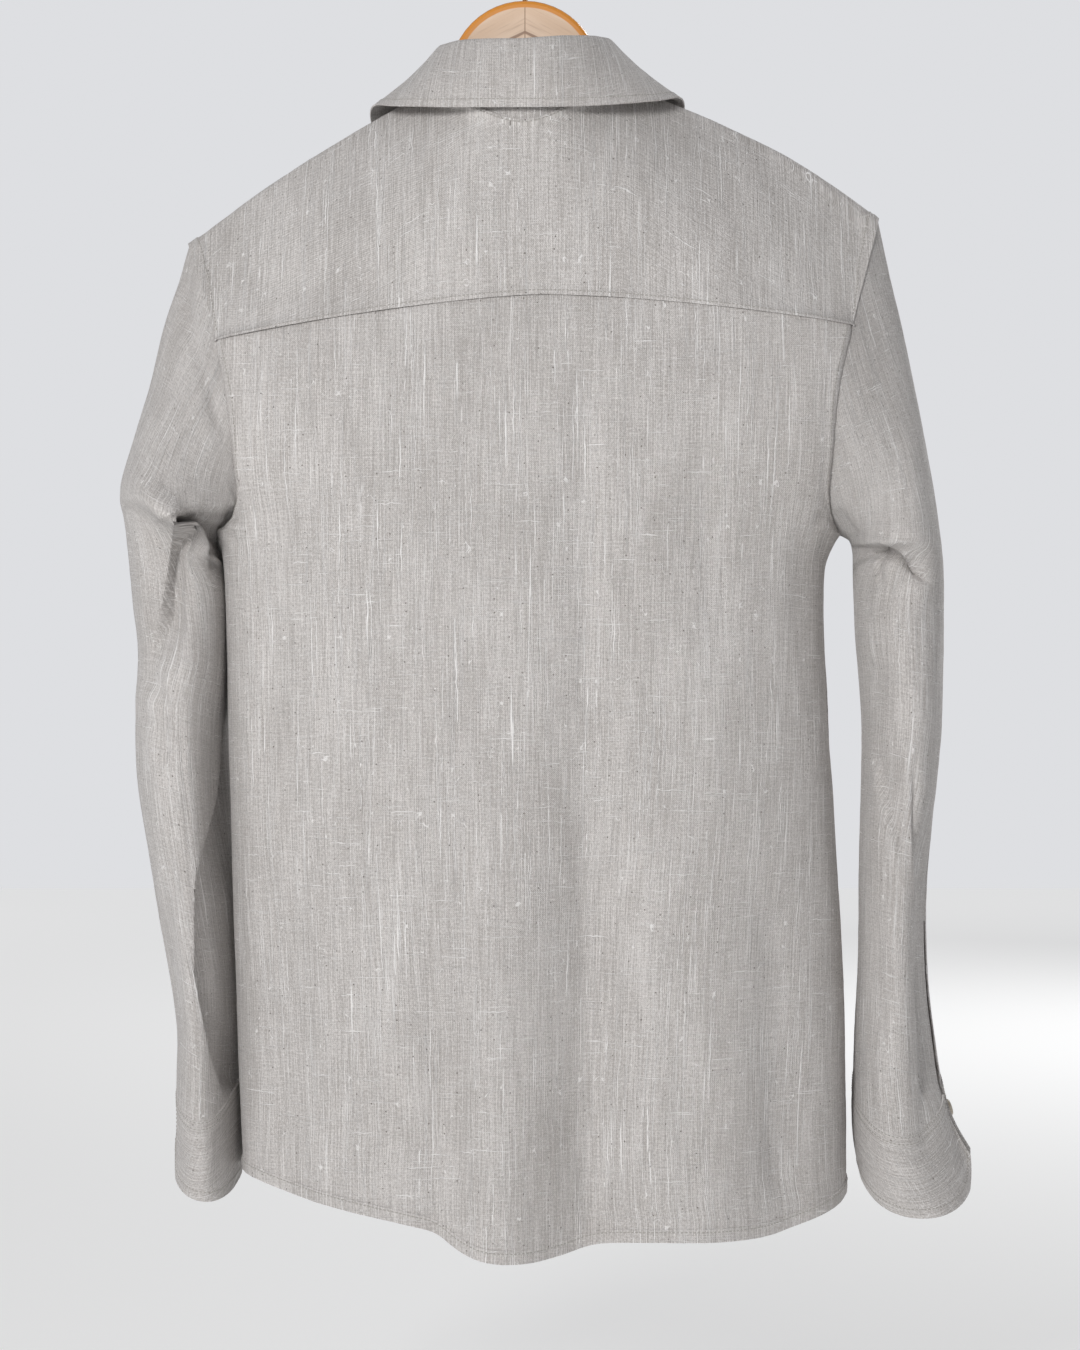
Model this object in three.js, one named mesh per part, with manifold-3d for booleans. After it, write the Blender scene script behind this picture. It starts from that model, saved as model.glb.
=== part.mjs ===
// A zip-front shirt with a collar, a back yoke, long sleeves and a shirt-tail hem, on a wooden hanger.
// Millimetres, +Z up. The front faces -Y, and the wearer's left is +X.
// The origin is the inside top of the hanger's hook, where it rests on a rail.
// Every panel is a closed wall round a grid of points on the middle of the cloth. Panels that are
// sewn together share the points and normals of their seam, and stand a seam gap apart there.
import * as THREE from 'three';
import { mergeVertices } from 'three/addons/utils/BufferGeometryUtils.js';
import Module from 'manifold-3d';

// Cloth
const CLOTH = 1.4;              // wall of one panel
const SEAM_GAP = 0.3;           // clear space between two panels at a seam
const SEAM_DRAW = 0.225;        // how far each edge is drawn back from its seam for that
const HEM_PROUD = 0.7;          // how far the turned hem stands out of the panel
const HEM_WIDTH = 8;

// How many cells each stretch of a panel is cut into
const ACROSS_BACK = 24;
const ACROSS_FRONT = 9;
const OVER_SHOULDER = 8;        // armhole edge of the yoke, from front seam to back seam
const DOWN_ARMHOLE = 8;         // armhole edge of the back or of a front
const DOWN_NECK = 5;            // neck edge of a front
const DOWN_SIDE = 12;           // armpit to hem
const DOWN_YOKE = ACROSS_FRONT; // neck to the yoke's outer edge

// Neck and collar: each ring is an oval in plan with a height at each angle round it, which is 0 at
// the wearer's left, 90 degrees at the back and -90 degrees at the zip
const NECK_RING = {
  halfWidth: 64,
  halfDepth: 66,
  middleY: -8,
  heights: [
    { angle: -120, z: -183 },
    { angle: -90, z: -200 },
    { angle: -60, z: -183 },
    { angle: -35, z: -152 },
    { angle: 0, z: -119 },
    { angle: 30, z: -120 },
    { angle: 60, z: -138 },
    { angle: 90, z: -149 },
    { angle: 120, z: -138 },
  ],
};
const FOLD_RING = {
  halfWidth: 54.6,
  halfDepth: 58,
  middleY: -9,
  heights: [
    { angle: -120, z: -155 },
    { angle: -90, z: -172 },
    { angle: -60, z: -155 },
    { angle: -35, z: -124 },
    { angle: 0, z: -94.5 },
    { angle: 30, z: -93 },
    { angle: 60, z: -95 },
    { angle: 90, z: -97 },
    { angle: 120, z: -95 },
  ],
};
const NECK_TILT = 0.04;         // the wearer's right side of the neck hangs higher
const ZIP_HALF_GAP = 5;         // from the middle to the edge of a front
const NECK_AT_ZIP = -85.5;      // degrees round the neck where a front ends
const NECK_AT_FRONT_SEAM = -35; // degrees round the neck where the yoke meets a front
const NECK_AT_BACK_SEAM = 40;   // degrees round the neck above the end of the back yoke seam
const YOKE_CROWN = { left: 5, back: 5, right: 9.5 };  // how far the yoke bows out past a straight line

// The edge of the collar's fall, by angle round the neck
const FALL_RIGHT = { widen: 1.03, raise: 5 };  // the right half spreads and lies higher
const FALL_EDGE = [
  { angle: -85.5, x: 43, y: -100, z: -236 },
  { angle: -68, x: 66, y: -92, z: -220 },
  { angle: -45, x: 88, y: -66, z: -190 },
  { angle: -20, x: 101, y: -30, z: -150 },
  { angle: 5, x: 102, y: 2, z: -133 },
  { angle: 35, x: 84, y: 37, z: -137 },
  { angle: 62, x: 46, y: 59, z: -141 },
  { angle: 90, x: 0, y: 66, z: -142 },
  { angle: 118, x: -46, y: 59, z: -141 },
];

// The fall's rows: its roll over the top of the stand, then shares of the way to its edge
const FALL_ROLL = [
  { away: 0, up: 1.15 },
  { away: 2.6, up: 1.15 },
  { away: 4.8, up: -1.4 },
];
const FALL_SHARES = [0.22, 0.48, 0.76, 1];
const FALL_BOW = 3.2;
const STAND_ROWS = [
  { rise: 1, lean: 1 },
  { rise: 0.66, lean: 0.66 },
  { rise: 0.33, lean: 0.3 },
  { rise: 0, lean: 0 },
];

// Armholes, from the front end of the yoke over the shoulder, down the back, and up the front
const ARMHOLE = {
  left: [
    { place: 'front seam', x: 214, y: -31, z: -254 },
    { place: 'front of tip', x: 220, y: -17, z: -234 },
    { place: 'shoulder tip', x: 223, y: 0, z: -224 },
    { place: 'back of tip', x: 217, y: 18, z: -241 },
    { place: 'back seam', x: 201, y: 44, z: -291 },
    { place: 'shoulder blade', x: 193, y: 54, z: -331 },
    { place: 'back of arm', x: 189, y: 53, z: -368 },
    { place: 'back fold', x: 187.5, y: 42.5, z: -393 },
    { place: 'under back', x: 193, y: 25, z: -408 },
    { place: 'armpit', x: 204, y: 2, z: -415 },
    { place: 'under front', x: 197, y: -22, z: -405 },
    { place: 'front fold', x: 189, y: -41, z: -388 },
    { place: 'front of arm', x: 189, y: -51, z: -355 },
    { place: 'chest', x: 195, y: -50, z: -315 },
    { place: 'collar bone', x: 205, y: -42, z: -281 },
  ],
  right: [
    { place: 'front seam', x: -226, y: -31, z: -248 },
    { place: 'front of tip', x: -232, y: -17, z: -221 },
    { place: 'shoulder tip', x: -234.5, y: 0, z: -207 },
    { place: 'back of tip', x: -229, y: 18, z: -227 },
    { place: 'back seam', x: -214, y: 44, z: -281 },
    { place: 'shoulder blade', x: -204, y: 54, z: -325 },
    { place: 'back of arm', x: -200, y: 53, z: -366 },
    { place: 'back fold', x: -198, y: 43, z: -393 },
    { place: 'under back', x: -202, y: 25, z: -409 },
    { place: 'armpit', x: -209, y: 2, z: -417 },
    { place: 'under front', x: -203, y: -22, z: -407 },
    { place: 'front fold', x: -198, y: -41, z: -389 },
    { place: 'front of arm', x: -199, y: -51, z: -355 },
    { place: 'chest', x: -205, y: -50, z: -313 },
    { place: 'collar bone', x: -216, y: -42, z: -278 },
  ],
};
const SEAM_PLACES = { front: 0, tip: 2, back: 4, armpit: 9 };

// The body below the armpits: the side seams, and how deep the back and the front hang
const SIDES = [
  { z: -415, left: 204, right: -209 },
  { z: -440, left: 200, right: -199 },
  { z: -527, left: 197, right: -200.5 },
  { z: -593, left: 195, right: -204.5 },
  { z: -660, left: 193, right: -208.5 },
  { z: -727, left: 191, right: -211.5 },
  { z: -793, left: 188.5, right: -213 },
  { z: -850, left: 186, right: -213 },
];
const DEPTHS = [
  { z: -200, back: 62, front: -74 },
  { z: -262, back: 70, front: -82 },
  { z: -330, back: 80, front: -87 },
  { z: -416, back: 88, front: -90 },
  { z: -530, back: 92, front: -92 },
  { z: -660, back: 95, front: -94 },
  { z: -780, back: 98, front: -96 },
  { z: -890, back: 100, front: -98 },
];
const SIDE_HEM = { left: -836, right: -850 };
const BACK_HEM = [
  { x: -214, z: -850 },
  { x: -206, z: -857 },
  { x: -178, z: -867 },
  { x: -150, z: -873 },
  { x: -80, z: -874 },
  { x: -46, z: -877 },
  { x: -22, z: -883 },
  { x: 2, z: -886 },
  { x: 26, z: -884.5 },
  { x: 42, z: -878 },
  { x: 58, z: -868 },
  { x: 76, z: -863 },
  { x: 112, z: -856 },
  { x: 150, z: -848 },
  { x: 188, z: -836 },
];
const FRONT_HEM_MIDDLE = -872;
const NECK_BLEND_ROWS = 6;      // rows over which a front leaves the line of the yoke's seam
const PIT_ROW_MIDDLE = -418;
const YOKE_SEAM_MIDDLE = -262;

// Soft folds in the cloth that hangs from the yoke: each runs down from one level to the hem,
// and its depth is how far it pushes the back out (plus) or in (minus) at the hem
const BACK_FOLDS = [
  { x: -42, width: 26, from: -270, depth: -19 },
  { x: 18, width: 28, from: -560, depth: 10 },
  { x: 52, width: 13, from: -600, depth: -7 },
  { x: 152, width: 26, from: -340, depth: -9 },
  { x: -118, width: 30, from: -320, depth: 7 },
  { x: -172, width: 16, from: -600, depth: -5 },
];
const FRONT_FOLDS = [
  { x: 72, width: 24, from: -330, depth: -12 },
  { x: 128, width: 26, from: -300, depth: 8 },
  { x: -66, width: 24, from: -360, depth: -9 },
  { x: -132, width: 28, from: -300, depth: -12 },
];

// Sleeves: one row for each ring from armhole to cuff. The outer end of a ring lies in the plane of the
// shoulders; back and front are the depths of the ring; tilt lowers its back and lifts its front
const SLEEVE = {
  start: { back: 54, front: -51 },
  left: [
    {
      outerX: 231, outerZ: -251, innerX: 208.5, innerY: -4, innerZ: -416.5,
      back: 58, front: -57, tilt: -4,
    },
    { outerX: 240, outerZ: -281, innerX: 209, innerY: -8, innerZ: -419.5, back: 63, front: -61, tilt: -1 },
    {
      outerX: 248.5, outerZ: -317, innerX: 208.5, innerY: -12, innerZ: -423.5,
      back: 69, front: -65, tilt: 2,
    },
    {
      outerX: 258, outerZ: -351, innerX: 207.5, innerY: -15, innerZ: -428.5,
      back: 75, front: -69, tilt: 0,
    },
    { outerX: 266, outerZ: -380, innerX: 205.5, innerY: -18, innerZ: -434, back: 84, front: -71, tilt: -6 },
    {
      outerX: 267.5, outerZ: -397, innerX: 203.5, innerY: -20, innerZ: -441,
      back: 82, front: -70, tilt: -12,
    },
    {
      outerX: 265.5, outerZ: -409, innerX: 202, innerY: -22, innerZ: -450,
      back: 60, front: -68, tilt: -14,
    },
    { outerX: 263, outerZ: -430, innerX: 201, innerY: -23, innerZ: -462, back: 54, front: -67, tilt: -8 },
    { outerX: 260, outerZ: -462, innerX: 200, innerY: -24, innerZ: -480, back: 58, front: -65, tilt: 0 },
    { outerX: 256.5, outerZ: -494, innerX: 199, innerY: -25, innerZ: -504, back: 62, front: -63, tilt: 0 },
    {
      outerX: 258.5, outerZ: -530, innerX: 197.5, innerY: -26, innerZ: -535,
      back: 60, front: -61, tilt: 0,
    },
    {
      outerX: 257.5, outerZ: -573, innerX: 195.5, innerY: -26, innerZ: -573,
      back: 60, front: -58, tilt: 0,
    },
    { outerX: 251, outerZ: -620, innerX: 195, innerY: -27, innerZ: -618, back: 60, front: -55, tilt: 2 },
    { outerX: 243, outerZ: -667, innerX: 193.5, innerY: -27, innerZ: -664, back: 59, front: -52, tilt: 5 },
    { outerX: 235, outerZ: -710, innerX: 192, innerY: -26, innerZ: -706, back: 57, front: -49, tilt: 10 },
    { outerX: 231, outerZ: -745, innerX: 191, innerY: -24, innerZ: -740, back: 56, front: -46, tilt: 16 },
    { outerX: 231, outerZ: -780, innerX: 190, innerY: -22, innerZ: -778, back: 55, front: -44, tilt: 22 },
  ],
  right: [
    {
      outerX: -241.5, outerZ: -240, innerX: -213, innerY: 0, innerZ: -418.5,
      back: 58, front: -57, tilt: 0,
    },
    { outerX: -250, outerZ: -278, innerX: -216, innerY: 0, innerZ: -420.5, back: 63, front: -61, tilt: 3 },
    { outerX: -258, outerZ: -317, innerX: -217.5, innerY: 0, innerZ: -423, back: 68, front: -65, tilt: 7 },
    {
      outerX: -265, outerZ: -354, innerX: -218.5, innerY: 0, innerZ: -426.5,
      back: 74, front: -68, tilt: 4,
    },
    { outerX: -271, outerZ: -393, innerX: -219, innerY: 0, innerZ: -430.5, back: 82, front: -70, tilt: 0 },
    { outerX: -275.5, outerZ: -430, innerX: -219, innerY: 0, innerZ: -436, back: 82, front: -69, tilt: -9 },
    { outerX: -277, outerZ: -455, innerX: -219, innerY: 0, innerZ: -444, back: 66, front: -68, tilt: -17 },
    {
      outerX: -277.5, outerZ: -474, innerX: -219.5, innerY: 0, innerZ: -460,
      back: 58, front: -66, tilt: -10,
    },
    {
      outerX: -277.5, outerZ: -495, innerX: -220.5, innerY: 0, innerZ: -483,
      back: 60, front: -64, tilt: -2,
    },
    { outerX: -276.5, outerZ: -522, innerX: -223, innerY: 0, innerZ: -514, back: 62, front: -62, tilt: 0 },
    { outerX: -275.5, outerZ: -552, innerX: -225, innerY: 0, innerZ: -546, back: 62, front: -60, tilt: 0 },
    { outerX: -273, outerZ: -586, innerX: -224.5, innerY: 0, innerZ: -582, back: 61, front: -57, tilt: 2 },
    { outerX: -270, outerZ: -630, innerX: -223.5, innerY: 0, innerZ: -627, back: 60, front: -54, tilt: 5 },
    { outerX: -268, outerZ: -672, innerX: -222.5, innerY: 0, innerZ: -670, back: 59, front: -51, tilt: 9 },
    { outerX: -269, outerZ: -710, innerX: -221.5, innerY: 0, innerZ: -710, back: 58, front: -48, tilt: 14 },
    { outerX: -273, outerZ: -747, innerX: -220, innerY: 0, innerZ: -747, back: 57, front: -46, tilt: 20 },
    { outerX: -278, outerZ: -783, innerX: -219, innerY: 0, innerZ: -784, back: 56, front: -44, tilt: 27 },
  ],
};
// Dents and ridges down a sleeve: ring and turn (degrees round, 0 outer, 90 back, 180 inner) at its
// start and end, half-width in millimetres round the ring, and depth outward
const SLEEVE_FOLDS = {
  left: [
    { fromRing: 7, toRing: 10.5, fromTurn: 100, toTurn: 60, width: 22, depth: -9 },
    { fromRing: 11, toRing: 17, fromTurn: 145, toTurn: 120, width: 20, depth: -8 },
    { fromRing: 8, toRing: 15, fromTurn: 262, toTurn: 250, width: 24, depth: -8 },
  ],
  right: [
    { fromRing: 9.5, toRing: 13, fromTurn: 140, toTurn: 95, width: 20, depth: -6 },
    { fromRing: 12.5, toRing: 17, fromTurn: 45, toTurn: 62, width: 18, depth: -8 },
    { fromRing: 8, toRing: 15, fromTurn: 262, toTurn: 250, width: 24, depth: -8 },
  ],
};
const SLEEVE_ROUND = 0.94;      // 1 makes a ring an oval, less makes it fuller
const SLEEVE_HEAD_RINGS = 4;    // rings over which the armhole's own shape fades out
const GIRTH_FACTOR = 2.9;       // girth of a ring from its two half-widths
// The opening above the cuff: its cell round the ring, its rings, and in degrees its middle and width
const SLIT = { cell: 3, rings: 3, middle: 7, lowGap: 8, highGap: 3 };

// Cuffs: the lower ring of each, and how far the loose ends stand out
const CUFF = {
  left: {
    outerX: 232, outerZ: -836, innerX: 191, innerY: -20, innerZ: -844,
    back: 55, front: -43, tilt: 13,
  },
  right: {
    outerX: -296, outerZ: -840, innerX: -223, innerY: 0, innerZ: -840,
    back: 58, front: -44, tilt: 24,
  },
};
const CUFF_WALL = 2.2;
const CUFF_ROWS = 4;
const CUFF_CORNER = 12;         // how far the loose ends' lower corners are cut up
const CUFF_BELLY = 2.5;

// Buttons, one on the front end of each cuff
const BUTTON = { radius: 5.5, thickness: 2.4, round: 0.6, row: 2, fromEnd: 2, gap: 0.5, sides: 20 };

// Hanger and hook
const HANGER = { thickness: 13, round: 2.5, domeRadius: 50, domeMiddle: -112, neckDrop: 0.6, under: 2.7 };
const HANGER_ARM = { depth: 31, endDepth: 17, lean: 11, ends: 0.87, crotch: -152, crotchHalf: 26, crotchRise: 3 };
const HOOK = { wire: 2, bend: 21, swanDown: -47, swanOut: 4, swanRise: 6, rows: 44, sides: 10, gap: 0.4 };

// Zip: its tapes lie inside the fronts, and all of it stands on the line where the fronts meet
const TAPE = { inner: 3, outer: 16, wall: 1, gap: 0.45 };
const CHAIN = { halfWidth: 2.4, wall: 2.4, setIn: 0.9, aboveSlider: 0.4 };
const SLIDER_Z = -216;
const SLIDER = {
  half: 6, halfWidth: 4.2, halfWeb: 1.2, plate: 1.3, front: -0.6, back: 2.9, webFrom: 0.9, webTo: 5.6, overlap: 0.2,
};
const BAIL = { halfWidth: 1, leg: 1, half: 3.4, clear: 2.4 };
const PULL = {
  bar: 1, barZ: -1.2, slotHalf: 1.5, slotLong: 5.4, half: 3.2, endHalf: 4, long: 27, endRound: 4, thickness: 1,
};

const RADIANS = Math.PI / 180;
const vector = (x, y, z) => new THREE.Vector3(x, y, z);
const mix = (a, b, share) => a + (b - a) * share;
const mixPoints = (a, b, share) => a.clone().lerp(b, share);
const clamp = (value, low, high) => Math.min(high, Math.max(low, value));
const smooth = (share) => {
  const s = clamp(share, 0, 1);
  return s * s * (3 - 2 * s);
};
const pointOf = (row) => vector(row.x, row.y, row.z);

// Reads a column of a table at any value of its key, on a smooth curve through the rows
function reader(table, key, column) {
  const rows = [...table].sort((a, b) => a[key] - b[key]);
  const slopes = rows.map((row, i) => {
    const before = rows[Math.max(i - 1, 0)];
    const after = rows[Math.min(i + 1, rows.length - 1)];
    return (after[column] - before[column]) / (after[key] - before[key]);
  });
  return (value) => {
    const at = clamp(value, rows[0][key], rows[rows.length - 1][key]);
    const i = clamp(rows.findIndex((row) => row[key] > at) - 1, 0, rows.length - 2);
    const last = at >= rows[rows.length - 1][key] ? rows.length - 2 : i;
    const [a, b] = [rows[last], rows[last + 1]];
    const span = b[key] - a[key];
    const s = (at - a[key]) / span;
    return a[column] * (1 + 2 * s) * (1 - s) ** 2 + b[column] * s * s * (3 - 2 * s)
      + span * (slopes[last] * s * (1 - s) ** 2 - slopes[last + 1] * s * s * (1 - s));
  };
}

// A sheet is a grid of points on the middle of the cloth, with an outward normal at each.
// across runs along a row. A closed sheet joins its last column to its first.
function sheet(grid, { closed = false, flip = false } = {}) {
  const rows = grid.length;
  const columns = grid[0].length;
  const normals = grid.map((row, j) => row.map((_, i) => {
    const left = closed ? row[(i + columns - 1) % columns] : row[Math.max(i - 1, 0)];
    const right = closed ? row[(i + 1) % columns] : row[Math.min(i + 1, columns - 1)];
    const along = right.clone().sub(left);
    const down = grid[Math.min(j + 1, rows - 1)][i].clone().sub(grid[Math.max(j - 1, 0)][i]);
    return down.cross(along).normalize().multiplyScalar(flip ? -1 : 1);
  }));
  return { grid, normals, own: normals.map((row) => row.map((n) => n.clone())), closed, flip };
}

// Points that several sheets have in common get one normal, so that their rims face each other
function shareNormals(sheets) {
  const together = new Map();
  const keyOf = (p) => [p.x, p.y, p.z].map((value) => Math.round(value * 50)).join(' ');
  sheets.forEach((s) => s.grid.forEach((row, j) => row.forEach((p, i) => {
    const key = keyOf(p);
    if (!together.has(key)) together.set(key, []);
    together.get(key).push({ s, j, i });
  })));
  together.forEach((uses) => {
    const sum = uses.reduce((total, { s, j, i }) => total.add(s.own[j][i]), vector(0, 0, 0));
    if (uses.length > 1 && sum.length() > 0.2) {
      uses.forEach(({ s, j, i }) => s.normals[j][i].copy(sum).normalize());
    }
  });
}

// Draws the named edges of a sheet back from their seams, square to each edge
function drawBack(s, edges) {
  const { grid, closed } = s;
  const rows = grid.length;
  const columns = grid[0].length;
  const moved = grid.map((row) => row.map((p) => p.clone()));
  const pull = (point, inward, before, after) => {
    const edge = after.clone().sub(before).normalize();
    const direction = inward.clone().sub(point);
    direction.addScaledVector(edge, -direction.dot(edge)).normalize();
    return direction.multiplyScalar(SEAM_DRAW);
  };
  const column = (i) => (closed ? (i + columns) % columns : clamp(i, 0, columns - 1));
  const row = (j) => clamp(j, 0, rows - 1);
  const named = (list) => list.filter(([name]) => edges.includes(name));
  for (let i = 0; i < columns; i += 1) {
    named([['top', 0, 1], ['bottom', rows - 1, rows - 2]]).forEach(([, j, next]) => {
      moved[j][i].add(pull(grid[j][i], grid[next][i], grid[j][column(i - 1)], grid[j][column(i + 1)]));
    });
  }
  for (let j = 0; j < rows; j += 1) {
    named([['first', 0, 1], ['last', columns - 1, columns - 2]]).forEach(([, i, next]) => {
      moved[j][i].add(pull(grid[j][i], grid[j][next], grid[row(j - 1)][i], grid[row(j + 1)][i]));
    });
  }
  s.grid = moved;
}

// The closed wall round a sheet. keep says which cells are cloth; proud thickens the outside.
function wall(s, { thickness = CLOTH, keep = () => true, proud = () => 0 } = {}) {
  const { grid, normals, own, closed, flip } = s;
  const rows = grid.length;
  const columns = grid[0].length;
  const positions = [];
  grid.forEach((row, j) => row.forEach((p, i) => {
    const lean = 1 / Math.max(0.6, normals[j][i].dot(own[j][i]));
    const half = (thickness / 2) * lean;
    positions.push(...p.clone().addScaledVector(normals[j][i], half + proud(j, i)).toArray());
    positions.push(...p.clone().addScaledVector(normals[j][i], -half).toArray());
  }));
  const corner = (j, i, side) => 2 * (j * columns + (i % columns)) + side;
  const apart = (a, b) => Math.hypot(...[0, 1, 2].map((k) => positions[3 * a + k] - positions[3 * b + k]));
  const triangles = [];
  const triangle = (a, b, c) => triangles.push(...(flip ? [a, c, b] : [a, b, c]));
  const quad = (a, b, c, d, second = false) => {
    if (second) [[a, b, d], [b, c, d]].forEach((t) => triangle(...t));
    else [[a, b, c], [a, c, d]].forEach((t) => triangle(...t));
  };
  const cells = closed ? columns : columns - 1;
  const kept = (j, i) => {
    if (j < 0 || j >= rows - 1) return false;
    const column = closed ? (i + columns) % columns : i;
    return column >= 0 && column < cells && keep(j, column);
  };
  for (let j = 0; j < rows - 1; j += 1) {
    for (let i = 0; i < cells; i += 1) {
      if (kept(j, i)) {
        const next = (i + 1) % columns;
        const second = grid[j + 1][i].distanceTo(grid[j][next]) < grid[j][i].distanceTo(grid[j + 1][next]);
        quad(corner(j, i, 0), corner(j + 1, i, 0), corner(j + 1, i + 1, 0), corner(j, i + 1, 0), second);
        quad(corner(j, i, 1), corner(j, i + 1, 1), corner(j + 1, i + 1, 1), corner(j + 1, i, 1), second);
        const rim = (open, a, b) => {
          if (!open) return;
          const [a0, b0, b1, a1] = [corner(...a, 0), corner(...b, 0), corner(...b, 1), corner(...a, 1)];
          quad(a0, b0, b1, a1, apart(b0, a1) < apart(a0, b1));
        };
        rim(!kept(j - 1, i), [j, i], [j, i + 1]);
        rim(!kept(j + 1, i), [j + 1, i + 1], [j + 1, i]);
        rim(!kept(j, i - 1), [j + 1, i], [j, i]);
        rim(!kept(j, i + 1), [j, i + 1], [j + 1, i + 1]);
      }
    }
  }
  const geometry = new THREE.BufferGeometry();
  geometry.setAttribute('position', new THREE.Float32BufferAttribute(positions, 3));
  geometry.setIndex(triangles);
  const welded = mergeVertices(geometry, 1e-4);
  welded.computeVertexNormals();
  return welded;
}

// Neck rings
const ringHeight = new Map([NECK_RING, FOLD_RING].map((ring) => [ring, reader(ring.heights, 'angle', 'z')]));
const mirrored = (degrees) => (degrees > 90 ? 180 - degrees : degrees);
function ringPoint(ring, degrees) {
  const x = ring.halfWidth * Math.cos(degrees * RADIANS);
  const y = ring.middleY + ring.halfDepth * Math.sin(degrees * RADIANS);
  return vector(x, y, ringHeight.get(ring)(mirrored(degrees)) - NECK_TILT * x);
}

// Armhole edges: the points of the yoke, the back and the front on one side
function armholeEdges(side) {
  const rows = ARMHOLE[side];
  const curve = new THREE.CatmullRomCurve3(rows.map(pointOf), true, 'centripetal');
  const stretch = (from, to, cells) => Array.from({ length: cells + 1 }, (_, i) => (
    curve.getPoint((mix(from, to, i / cells) / rows.length) % 1)
  ));
  return {
    yoke: stretch(SEAM_PLACES.front, SEAM_PLACES.back, OVER_SHOULDER),
    back: stretch(SEAM_PLACES.back, SEAM_PLACES.armpit, DOWN_ARMHOLE),
    front: stretch(SEAM_PLACES.armpit, rows.length, DOWN_ARMHOLE).reverse(),
  };
}
const armholes = { left: armholeEdges('left'), right: armholeEdges('right') };

// Side seams, from armpit to hem. The last row but one stands a hem's width above the edge.
const sideLine = { left: reader(SIDES, 'z', 'left'), right: reader(SIDES, 'z', 'right') };
const bodyRows = DOWN_ARMHOLE + DOWN_SIDE + 1;
function rowShare(row) {
  return row > DOWN_SIDE ? 1 : (row / DOWN_SIDE) * (1 - HEM_WIDTH / (PIT_ROW_MIDDLE - SIDE_HEM.left));
}
function edgePoint(side, panel, row) {
  if (row <= DOWN_ARMHOLE) return armholes[side][panel][row].clone();
  const pit = armholes[side][panel][DOWN_ARMHOLE];
  const z = mix(pit.z, SIDE_HEM[side], rowShare(row - DOWN_ARMHOLE));
  return vector(sideLine[side](z), pit.y, z);
}

const backDepth = reader(DEPTHS, 'z', 'back');
const frontDepth = reader(DEPTHS, 'z', 'front');
const backHem = reader(BACK_HEM, 'x', 'z');

function foldDepth(folds, x, z) {
  return folds.reduce((sum, fold) => {
    const grown = smooth((fold.from - z) / (fold.from + 860)) ** 0.8;
    const across = (x - fold.x) / fold.width;
    return sum + fold.depth * grown * Math.exp(-across * across);
  }, 0);
}

// The back, from the yoke seam to the hem, left side seam to right
function backSheet() {
  const grid = Array.from({ length: bodyRows + 1 }, (_, row) => {
    const left = edgePoint('left', 'back', row);
    const right = edgePoint('right', 'back', row);
    const upper = clamp(row / DOWN_ARMHOLE, 0, 1);
    const lower = rowShare(Math.max(0, row - DOWN_ARMHOLE));
    const round = mix(1.9, 2.35, upper);
    return Array.from({ length: ACROSS_BACK + 1 }, (__, i) => {
      const turn = Math.PI * (i / ACROSS_BACK);
      const wide = Math.sign(Math.cos(turn)) * Math.abs(Math.cos(turn)) ** (2 / round);
      const deep = Math.sin(turn) ** (2 / round);
      const edge = mixPoints(left, right, (1 - wide) / 2);
      const middle = mix(YOKE_SEAM_MIDDLE, PIT_ROW_MIDDLE, upper);
      const flatEdge = (left.z + right.z) / 2;
      let z = edge.z + (middle - flatEdge) * (1 - Math.abs(wide) ** 1.5) * (lower > 0 ? 0 : 1);
      if (lower > 0) {
        const pits = [armholes.left, armholes.right].map((edges) => edges.back[DOWN_ARMHOLE].z);
        const pit = mix(...pits, (1 - wide) / 2);
        z = mix(pit, backHem(edge.x), lower);
      }
      const fold = foldDepth(BACK_FOLDS, edge.x, z) * smooth(deep * 1.6);
      return vector(edge.x, mix(edge.y, backDepth(z), deep) + fold, z);
    });
  });
  return sheet(grid);
}

// The yoke: strips that run out from the neck to the armholes and the back yoke seam
function yokeSheet(back) {
  const outer = [
    ...armholes.left.yoke,
    ...back.grid[0].slice(1, -1),
    ...[...armholes.right.yoke].reverse(),
  ];
  const seamEnd = OVER_SHOULDER + ACROSS_BACK;
  const angles = outer.map((_, k) => {
    const [fromSeam, toSeam] = [NECK_AT_BACK_SEAM, 180 - NECK_AT_BACK_SEAM];
    if (k < OVER_SHOULDER) return mix(NECK_AT_FRONT_SEAM, fromSeam, k / OVER_SHOULDER);
    if (k <= seamEnd) return mix(fromSeam, toSeam, (k - OVER_SHOULDER) / ACROSS_BACK);
    return mix(toSeam, 180 - NECK_AT_FRONT_SEAM, (k - seamEnd) / OVER_SHOULDER);
  });
  const grid = Array.from({ length: DOWN_YOKE + 1 }, (_, j) => outer.map((end, k) => {
    const share = j / DOWN_YOKE;
    const cosine = Math.cos(angles[k] * RADIANS);
    const crown = mix(YOKE_CROWN.back, cosine > 0 ? YOKE_CROWN.left : YOKE_CROWN.right, Math.abs(cosine));
    const outward = vector(0, Math.sin(angles[k] * RADIANS), 0.7).normalize();
    return mixPoints(ringPoint(NECK_RING, angles[k]), end, share)
      .addScaledVector(outward, crown * Math.sin(Math.PI * share ** 1.4));
  }));
  return { yoke: sheet(grid), angles };
}

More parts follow.
